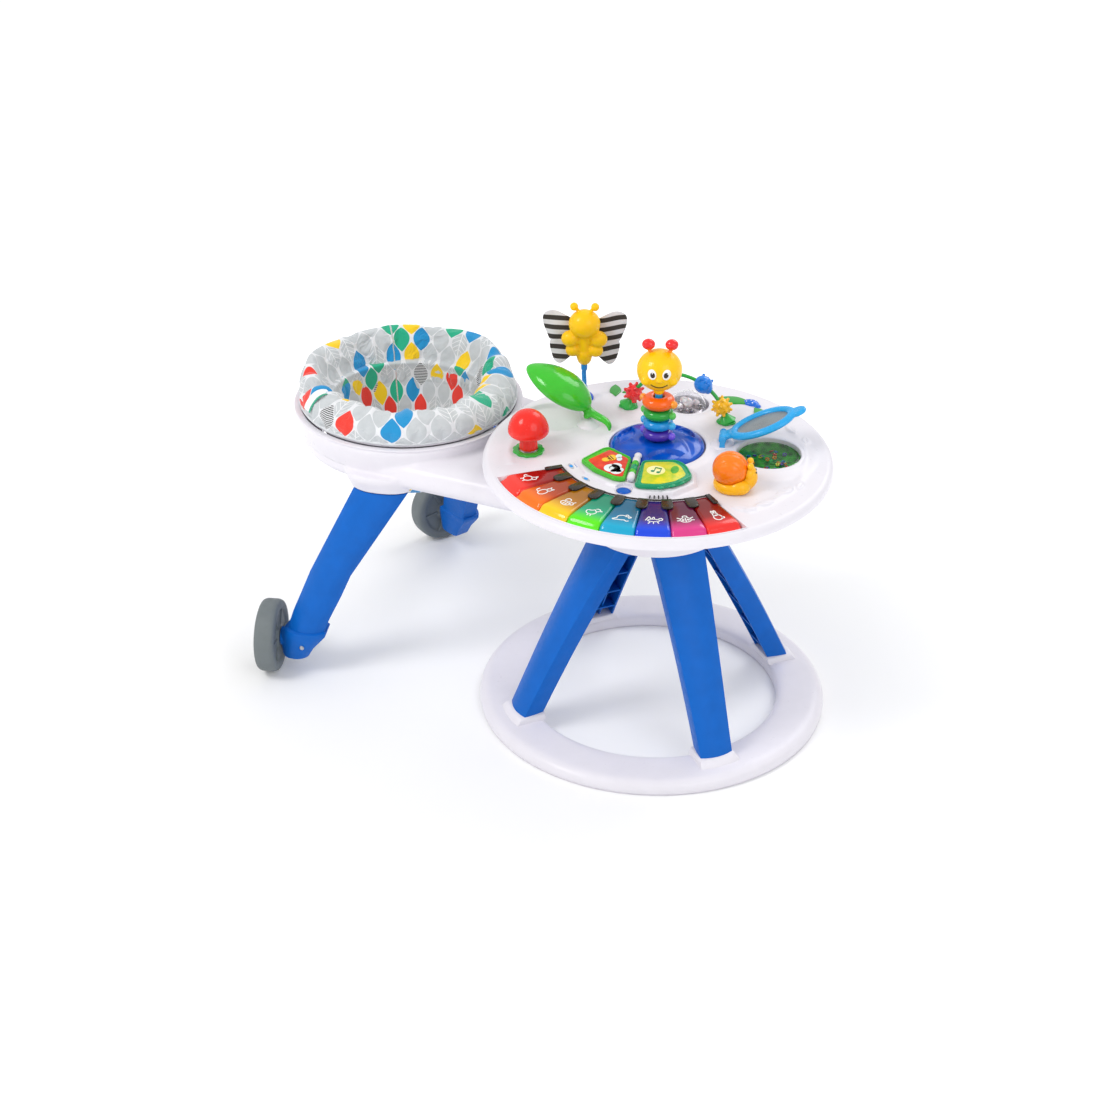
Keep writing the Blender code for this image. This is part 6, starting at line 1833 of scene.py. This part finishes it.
def book():
    top = 0.4904
    lime, teal = plastic("page_lime", "#4CBF35", rough=0.28, coat=0.3,
                         wear=0.0), plastic("page_teal", "#1E9E6E", rough=0.28, coat=0.3, wear=0.0)
    left_core, right_core = rounded(PAGE_LEFT, 0.007), rounded(PAGE_RIGHT, 0.01)
    put("page_left_board", spine_frame(slab(left_core, top - 0.0058, top - 0.0002, 0.0014, 3)), lime,
        "page_left", "book_page_left", sharp=40)
    put("page_right_board", spine_frame(slab(right_core, top - 0.0058, top - 0.0002, 0.0014, 3)), teal,
        "page_right", "book_page_right", sharp=40)
    # raised scalloped borders
    for name, tabs, mat, body in (("left",
                                   [(-0.004, -0.058, 0.0075), (0.008, -0.069, 0.0065),
                                    (-0.012, -0.045, 0.006)], lime, "page_left"),
                                  ("right",
                                   [(0.073, 0.078, 0.0085), (0.086, 0.066, 0.0075), (0.096, 0.05, 0.0065)],
                                   teal, "page_right")):
        lobes = [shift(ball(r, (0, 0, 0), (1, 1, 0.34), 32, 16), (x, y, top - 0.0022)) for x, y, r in tabs]
        put(f"page_{name}_scallops", spine_frame(merge(*lobes)), mat, body,
            sharp=0)
    left_panel = rounded([(0.016, -0.0135), (-0.0095, -0.048), (0.032, -0.078), (0.056, -0.059),
                          (0.0765, -0.027), (0.078, -0.0135)], 0.005)
    right_panel = rounded([(0.0225, 0.0145), (0.0135, 0.06), (0.026, 0.0735), (0.054, 0.086), (0.076, 0.072),
                           (0.0915, 0.047), (0.094, 0.018)], 0.007)
    put("page_left_panel", spine_frame(slab(left_panel, top - 0.001, top + 0.0004, 0.0003, 2)),
        page_print("panel_red", "#D6231F", "#EE4B2B"), "page_left", sharp=40)
    put("page_right_panel", spine_frame(slab(right_panel, top - 0.001, top + 0.0004, 0.0003, 2)),
        page_print("panel_lime", "#A6C71E", "#E7D92B"), "page_right", sharp=40)

    def disc(x, y, r, z0=0.0003, z1=0.0008, ry=None):
        return slab([(x + r * cos(a), y + (ry or r) * sin(a)) for a in np.linspace(0, 2 * pi, 41)[:-1]],
                    top + z0, top + z1, 0.0002, 1)

    def patch(name, shapes, mat, body):
        put(name, spine_frame(merge(*shapes)), mat, body,
            sharp=40)

    patch("page_left_cloud", [disc(0.053, -0.0345, 0.0135), disc(0.0435, -0.0285, 0.0085),
                              disc(0.063, -0.0265, 0.009), disc(0.057, -0.0235, 0.0085)],
          page_print("cloud_white", "#D9EEF4", "#F7FBFA"), "page_left")
    patch("page_left_bee_body",
          [disc(0.0185, -0.04, 0.0095, 0.0006, 0.0012, 0.0075), disc(0.027, -0.049, 0.0065, 0.0006, 0.0012)],
          page_print("bee_yellow", "#F6B414", "#FFD43A"), "page_left")
    patch("page_left_bee_wings",
          [disc(0.012, -0.03, 0.007, 0.0009, 0.0014, 0.005),
           disc(0.0215, -0.0275, 0.0062, 0.0009, 0.0014, 0.0045)],
          page_print("bee_wing", "#DDEFF5", "#F4FAFA"), "page_left")
    strokes = [pen(curve_through(arc(0.053, -0.033, 0.0058, 0, 300, 12), 40), 0.001, top + 0.001, 0.0005)]
    strokes.append(pen([(0.0135, -0.0445), (0.0245, -0.0368)], 0.0014, top + 0.0012, 0.0005))
    strokes.append(pen([(0.016, -0.048), (0.027, -0.04)], 0.0014, top + 0.0012, 0.0005))
    put("page_left_lines", spine_frame(merge(*strokes)), BLACK, "page_left", sharp=0)
    patch("page_right_disc", [disc(0.048, 0.036, 0.015)], page_print("note_disc", "#F4E98A", "#FBF6C4"),
          "page_right")
    patch("page_right_leaf", [disc(0.04, 0.0655, 0.013, 0.0003, 0.0008, 0.0065)],
          page_print("leaf_patch", "#3E9E34", "#66BE3A"), "page_right")
    note = [disc(0.052, 0.031, 0.003, 0.0009, 0.0014), disc(0.0545, 0.0405, 0.003, 0.0009, 0.0014)]
    note += [pen([(0.052, 0.0335), (0.0395, 0.0345)], 0.0012, top + 0.0009, 0.0005),
             pen([(0.0545, 0.043), (0.042, 0.044)], 0.0012, top + 0.0009, 0.0005),
             pen([(0.0395, 0.034), (0.042, 0.0445)], 0.0024, top + 0.0009, 0.0005)]
    put("page_right_note", spine_frame(merge(*note)), TEAL, "page_right", sharp=0)
    # raised beads along the free edges
    for name, outline, mat, body, slot in (("left", shrink(left_core, 0.0022), lime, "page_left", "green"),
                                           ("right", shrink(right_core, 0.0022), teal, "page_right", "teal")):
        ring = np.array([(x, y, top + 0.0002) for x, y in outline])
        ring = np.vstack([ring, ring[:2]])
        put(f"page_{name}_beading", spine_frame(tube(ring, 0.0013, 8, caps=False)), mat, body,
            sharp=0)
    # spine barrel
    white_ends = []
    for low, high in ((0.0135, 0.0265), (0.0695, 0.0825)):
        block = [(low, -0.0062), (high, -0.0062), (high, 0.0062), (low, 0.0062)]
        white_ends.append(slab(rounded(block, 0.003), 0.484, 0.4915, 0.0015, 3))
        white_ends.append(capsule((low + 0.002, 0, SPINE_Z), (high - 0.002, 0, SPINE_Z), 0.0062, 28))
    white_ends += [ball(0.0062, (0.0008, 0, SPINE_Z - 0.0012), (1.1, 1, 0.8), 24, 16)]
    put("spine_blocks", spine_frame(fused(merge(*white_ends), 0.0008, smooth=3)), WHITE, "table", "book_spine",
        sharp=0)
    for k, (low, high) in enumerate(((0.0275, 0.04), (0.0408, 0.055), (0.0558, 0.069))):
        prof = fillet([(0, low), (0.0054, low), (0.0058, (low + high) / 2), (0.0054, high), (0, high)], 0.0012,
                      3)
        barrel = shift(aim(lathe(prof, 36, closed=False), (1, 0, 0)), (0, 0, SPINE_Z))
        put(f"spine_barrel_{k + 1}", spine_frame(barrel), (lime, teal, lime)[k], "table",
            sharp=40)


# ------------------------------------------------------------------ buttons and sliders
def controls():
    c = np.array(BUTTON)
    way = atan2(SPINE_DIR[1], SPINE_DIR[0])
    prof = fillet([(0, 0.4742), (0.0113, 0.4742), (0.0113, 0.4775), (0.0095, 0.4792), (0.0055, 0.4799),
                   (0, 0.4801)], 0.0012, 4)
    cap = lathe(prof, 64, closed=False)
    cap = (cap[0] * np.array((1.0, 0.86, 1)), cap[1])
    put("button_cap", shift(turn(cap, "Z", radians(10)), c), BUTTON_BLUE, "sound_button", "sound_button",
        sharp=50)
    rim = fillet([(0.0106, 0.4738), (0.0132, 0.4738), (0.013, 0.4768), (0.0118, 0.4772), (0.0118, 0.4745)],
                 0.0006, 2, closed=True)
    ring = lathe(rim, 64)
    put("button_rim", shift(turn((ring[0] * np.array((1.06, 0.94, 1)), ring[1]), "Z", radians(10)), c), WHITE,
        "table", sharp=50)
    for name, angle, body in (("volume", -129.5, "volume_slider"), ("mode", -111.0, "mode_slider")):
        a = radians(angle)
        at = polar(0.1515, a)
        knob = fused(merge(slab(ellipse(0.0043, 0.0029, 32), 0.4756, 0.4796, 0.0008, 3),
                           ball(0.0022, (0, 0, 0.479), (1.1, 0.8, 0.6), 20, 14)), 0.0004, smooth=2)
        put(f"{name}_knob", shift(turn(knob, "Z", a + pi / 2), at),
            plastic("slider_blue", "#2E9BEA", rough=0.3, wear=0.0), body, f"{name}_slider", sharp=0)
        # the grey oval under each slider is painted shade standing for its groove
        channel = shift(turn(slab(ellipse(0.01, 0.0038, 40), 0.477, 0.4788, 0.0003, 1), "Z", a + pi / 2), at)
        put(f"{name}_channel", channel, DARK_SLOT, "table", sharp=40)
        marks = []
        for k in (-1, 0, 1):  # plain position marks beside the slider
            b = a + k * 0.035
            spot = polar(0.1435, b)
            marks.append(shift(lathe(fillet([(0, 0.478), (0.0011, 0.478), (0.0011, 0.4787), (0, 0.4787)],
                                            0.0002, 1), 16, closed=False), (spot[0], spot[1], 0)))
        put(f"{name}_marks", merge(*marks), BUTTON_BLUE, "table", sharp=50)
    holes = []
    for k in range(5):  # speaker slots drawn as near-black bars on the strip: painted shade standing for the holes
        a = radians(-66 + 2.6 * k)
        spot = polar(0.149, a)
        bar = slab([(-0.0075, -0.001), (0.0075, -0.001), (0.0075, 0.001), (-0.0075, 0.001)], 0.4768, 0.4789,
                   0.0003, 1)
        holes.append(shift(turn(bar, "Z", a), spot))
    put("speaker_slots", merge(*holes), DARK, "table", sharp=40)


# grey for the slider channels: painted shade standing for the grooves
DARK_SLOT = plastic("slider_groove_painted_shade", "#B9BCC4", rough=0.45, coat=0.0, wear=0.0)


# ------------------------------------------------------------------ bead window
def window_tray():
    """Green tray floor with a darker leafy pattern."""
    s = Shading("window_tray")
    cells = s.node("ShaderNodeTexVoronoi")
    cells.inputs["Scale"].default_value = 85
    s.feed(cells.inputs["Vector"], s.place())
    tone = s.ramp(s.plus(cells.outputs["Distance"], s.times(s.noise(60, 4), 0.35)),
                  [(0.3, srgb("#0E5A1C")), (0.55, srgb("#1F8C2C")), (0.9, srgb("#3FB436"))])
    return s.set(Base_Color=tone, Roughness=0.4, Normal=s.bump(cells.outputs["Distance"], 0.5, 0.002),
                 Coat_Weight=0.2)


def bead_window():
    c = np.array(WINDOW)
    steps = 96
    rows = [(0, 0.4638), (0.018, 0.4632), (0.034, 0.4628), (0.044, 0.4632), (0.0485, 0.465), (0.0503, 0.47),
            (0.0508, 0.4738), (0.0518, 0.4738), (0.052, 0.462), (0, 0.4614)]
    put("window_tray_floor", lathe(rows, steps, c, closed=False), window_tray(), "table", "bead_tray",
        sharp=50)
    colours = (("red", "#E8302C"), ("orange", "#F78A1E"), ("blue", "#1E7CE0"), ("yellow", "#FFD02A"),
               ("violet", "#6A48C8"))
    for n, (name, colour) in enumerate(colours):
        beads = []
        for k in range(5):
            a, d = RNG.uniform(0, 2 * pi), sqrt(RNG.uniform(0.02, 0.9)) * 0.04
            at = (c[0] + d * cos(a), c[1] + d * sin(a), 0.4668)
            torus = lathe(ellipse(0.0013, 0.0013, 12, 0.0026), 24)
            tip = (RNG.uniform(-0.5, 0.5), RNG.uniform(-0.5, 0.5), 1)
            beads.append(shift(aim(torus, tip), at))
        put(f"window_beads_{name}", merge(*beads), glossy(f"bead_{name}_gloss", colour), "table",
            sharp=0)
    pane = fillet([(0, 0.4758), (0.047, 0.4752), (0.0508, 0.4744), (0.0508, 0.4766), (0.047, 0.4776),
                   (0, 0.4782)], 0.001, 3)
    put("window_pane", lathe(pane, steps, c, closed=False),
        glass("window_clear", "#DDF5DD", rough=0.01, clear=1.0), "table", "bead_window", sharp=60)


# ------------------------------------------------------------------ snail
def snail():
    at, look = np.array((SNAIL[0], SNAIL[1], TOP)), radians(28)
    base = curve_through([(0.0, 0.0007), (0.018, 0.0006), (0.0275, 0.001), (0.0308, 0.005), (0.0312, 0.01),
                          (0.0295, 0.015), (0.0255, 0.0176),
                          (0.02, 0.0178), (0.012, 0.016), (0.0, 0.015)], 50)
    base[0][0] = base[-1][0] = 0
    parts = [lathe([tuple(p) for p in base], 72, closed=False)]
    neck = curve_through([(0.017, -0.002, 0.01), (0.024, -0.003, 0.017), (0.0265, -0.003, 0.025),
                          (0.0258, -0.002, 0.032)], 24)
    parts.append(tube(neck, np.interp(np.linspace(0, 1, 24), [0, 0.5, 1], [0.015, 0.0138, 0.0105]), 28))
    parts.append(ball(0.0122, (0.0245, -0.002, 0.03), (1.0, 1.25, 1.05), 32, 20))
    parts.append(ball(0.016, (0.01, -0.018, 0.011), (1.1, 0.9, 0.8), 32, 20))
    parts.append(ball(0.016, (0.01, 0.018, 0.011), (1.1, 0.9, 0.8), 32, 20))
    for side in (-1, 1):
        parts.append(capsule((0.024, side * 0.0045 - 0.002, 0.038), (0.0262, side * 0.0085 - 0.002, 0.0445),
                             0.0034, 14))
        parts.append(ball(0.0057, (0.0266, side * 0.0095 - 0.002, 0.0455), (1, 1, 1), 24, 16))
    skin = fused(merge(*parts), 0.0012, smooth=7)
    skin = carve(skin, [ball(0.0296, (-0.005, 0, 0.0345), (1, 1.02, 0.98), 64, 40)])
    yellow = plastic("snail_yellow", "#FFB914", rough=0.28, coat=0.3, grain=0.04, vary=0.03, wear=0.0, sub=0.08)
    put("snail_skin", face_frame(skin, at, look), yellow, "snail", "snail_body", sharp=50)
    steps, rings = 96, 56
    rows = []
    for i in range(rings + 1):
        th = pi * i / rings
        row = []
        for k in range(steps):
            a = 2 * pi * k / steps
            groove = 0.0011 * (0.5 + 0.5 * cos(5.0 * th * 2 - a)) ** 6
            r = 0.0289 - groove * sin(th)
            row.append((r * sin(th) * cos(a), r * sin(th) * sin(a), r * cos(th)))
        rows.append(row)
    verts = np.array([p for row in rows[1:-1] for p in row] + [(0, 0, 0.0289), (0, 0, -0.0289)])
    n = len(rows) - 2
    faces = grid_faces(n, steps)
    faces += [(n * steps, (k + 1) % steps, k) for k in range(steps)]
    faces += [(n * steps + 1, (n - 1) * steps + k, (n - 1) * steps + (k + 1) % steps) for k in range(steps)]
    shell = shift(turn((verts, faces), "X", pi / 2), (-0.005, 0, 0.0345))
    orange = plastic("snail_orange", "#FC7F12", rough=0.22, coat=0.4, grain=0.04, vary=0.05, wear=0.0, sub=0.15)
    put("snail_shell_ball", face_frame(shell, at, look), orange, "snail", "snail_shell", sharp=0)
    marks = [ball(0.0017, (0.0362, side * 0.0056 - 0.002, 0.0325), (0.6, 1, 1), 14, 10) for side in (-1, 1)]
    put("snail_eyes", face_frame(merge(*marks), at, look), BLACK, "snail", sharp=0)


# ------------------------------------------------------------------ paddle
def lens_mesh():
    """Smoky see-through film printed with a fine grid."""
    s = Shading("lens_mesh")
    split = s.node("ShaderNodeSeparateXYZ")
    s.feed(split.inputs[0], s.node("ShaderNodeUVMap", uv_map="UVMap").outputs[0])
    lines = s.math("MAXIMUM", s.sine(s.times(split.outputs[0], 2 * pi / 0.0016)),
                   s.sine(s.times(split.outputs[1], 2 * pi / 0.0016)))
    tone = s.mix(s.between(lines, 0.2, 0.8), srgb("#9AA2A6"), srgb("#6C757A"))
    tone = s.mix(s.between(s.noise(22, 3), 0.4, 0.7, 0.0, 0.4), tone, srgb("#A9B0B4"))
    return s.set(Base_Color=tone, Roughness=0.3, Metallic=0.2, Alpha=0.86, Normal=s.bump(lines, 0.25, 0.0003),
                 Coat_Weight=0.3)


def paddle():
    pivot = np.array((0.0765, 0.0835, 0.491))
    heading, tilt = radians(24), radians(-24)

    def place(part):
        return shift(turn(turn(part, "Y", tilt), "Z", heading), pivot)

    centre, count = 0.07, 120
    rows = []
    for k in range(count):
        a = 2 * pi * k / count
        c, s = np.array((centre + 0.0508 * cos(a),
                         0.0338 * sin(a))), np.array((cos(a) * 0.0338, sin(a) * 0.0508))
        s /= np.linalg.norm(s)
        row = []
        for j in range(20):
            b = 2 * pi * j / 20
            row.append((*(c + s * 0.0077 * cos(b)), 0.006 * sin(b)))
        rows.append(row)
    rim = (np.array([p for r in rows for p in r]), grid_faces(count, 20, True, True))
    tab = slab(ellipse(0.0148, 0.0135, 48, centre + 0.061), -0.004, 0.004, 0.003, 4)
    web = slab([(-0.004, -0.011), (0.012, -0.0125), (0.021, -0.015), (0.021, 0.015), (0.012, 0.0125),
                (-0.004, 0.011)], -0.0042, 0.0042, 0.0026, 3)
    barrel = turn(capsule((0, 0, -0.009), (0, 0, 0.009), 0.0068, 28), "X", pi / 2)
    skin = fused(merge(rim, tab, web, barrel), 0.0014, smooth=5)
    skin = carve(skin, [slab(ellipse(0.044, 0.027, 96, centre), -0.02, 0.02, 0.0005, 1)])
    put("paddle_rim", place(skin),
        plastic("paddle_sky", "#27A5E6", rough=0.26, coat=0.3, grain=0.05, vary=0.03, wear=0.0), "paddle",
        "paddle_frame", sharp=50)
    rows = []
    for f in (1.0, 0.985, 0.8, 0.6, 0.4, 0.2, 0.02):
        rows.append([(x, y, 0.0011 + 0.0006 * (1 - f * f)) for x,
                     y in ellipse(0.0438 * f, 0.0268 * f, 96, centre)])
    stack = rows[::-1] + [[(x, y, -z) for x, y, z in row] for row in rows]
    lens_part = loft(stack)
    uv = np.array([(p[0], p[1]) for row in stack for p in row])
    put("paddle_mesh", place(lens_part), lens_mesh(), "paddle", "paddle_lens", sharp=40, uv=uv)
    post = fused(merge(lathe(fillet([(0, 0.4735), (0.0235, 0.4735), (0.0205, 0.477), (0.015, 0.4805),
                                     (0.011, 0.4828), (0, 0.4832)], 0.002, 4), 48, (pivot[0], pivot[1], 0),
                                     closed=False),
                       ball(0.009, (pivot[0], pivot[1], 0.477), (1.3, 1.3, 0.6), 28, 18)), 0.001, smooth=4)
    put("paddle_post", post, WHITE, "table", sharp=0)
    cheeks = []
    for side in (-1, 1):
        cheek = turn(lathe(fillet([(0, 0), (0.0062, 0), (0.0062, 0.0028), (0.0045, 0.0042), (0, 0.0044)],
                                  0.001, 3), 32, closed=False), "X", -side * pi / 2)
        cheeks.append(shift(turn(shift(cheek, (0, side * 0.014, 0)), "Z", heading), pivot))
        bar = slab([(-0.0045, side * 0.014), (0.0045, side * 0.014), (0.0045, side * 0.018),
                    (-0.0045, side * 0.018)], 0.476 - 0.491, 0.0, 0.001, 2)
        cheeks.append(shift(turn(bar, "Z", heading), pivot))
    put("paddle_cheeks", merge(*cheeks), glossy("cheek_sky", "#2A9FE0"), "table", sharp=50)


# ------------------------------------------------------------------ raised decorations
def reliefs():
    """Small moulded leaves and a dotted bug standing proud of the table."""
    def leaf_relief(x, y, angle, length, width):
        outline = []
        for t in np.linspace(-1, 1, 25):
            outline.append((t * length, width * (1 - t * t)))
        for t in np.linspace(1, -1, 25)[1:-1]:
            outline.append((t * length, -width * (1 - t * t)))
        part = slab(outline, 0.474, 0.479, 0.0018, 4)
        return shift(turn(part, "Z", radians(angle)), (x, y, 0))
    put("relief_leaves", merge(leaf_relief(0.02, 0.236, 12, 0.029, 0.013),
                               leaf_relief(0.088, 0.212, -32, 0.03, 0.0125),
                               leaf_relief(-0.174, 0.164, 120, 0.022, 0.01),
                               leaf_relief(-0.15, 0.176, 60, 0.018, 0.0085)),
                               glossy("relief_green", "#2E9F34"), "table", sharp=45)
    bug = [shift(ball(0.0115, (0, 0, 0), (1.25, 0.9, 0.55), 40, 24), (0.049, 0.243, 0.476)),
           shift(ball(0.0058, (0, 0, 0), (1, 1, 0.7), 24, 16), (0.064, 0.238, 0.476))]
    put("relief_bug", fused(merge(*bug), 0.0007, smooth=3), glossy("relief_blue", "#1C6FDC"), "table",
        sharp=0)
    dots = [ball(0.0017, (0.049 + dx, 0.243 + dy, 0.4816 - 26 * (dx * dx + dy * dy)), (1, 1, 0.6), 14, 10)
            for dx, dy in ((0, 0), (0.006, 0.003), (-0.006, 0.003), (0.005, -0.005), (-0.006, -0.004))]
    put("relief_bug_dots", merge(*dots), INK_WHITE, "table", sharp=0)
    lips = []
    for r0, r1 in ((0.1618, 0.1636), (0.2757, 0.2775)):  # the white rim round the key bed
        rows = []
        for a in np.linspace(KEY_START - 0.01, KEY_END + 0.01, 160):
            rows.append([polar(r0, a, 0.4735), polar(r0, a, 0.4762), polar((r0 + r1) / 2, a, 0.4769),
                         polar(r1, a, 0.4762), polar(r1, a, 0.4735)])
        lips.append(loft(rows))
    put("key_bed_rim", merge(*lips), WHITE, "table", sharp=50)


bead_arch()
bubble_dome()
book()
controls()
bead_window()
snail()
paddle()
reliefs()
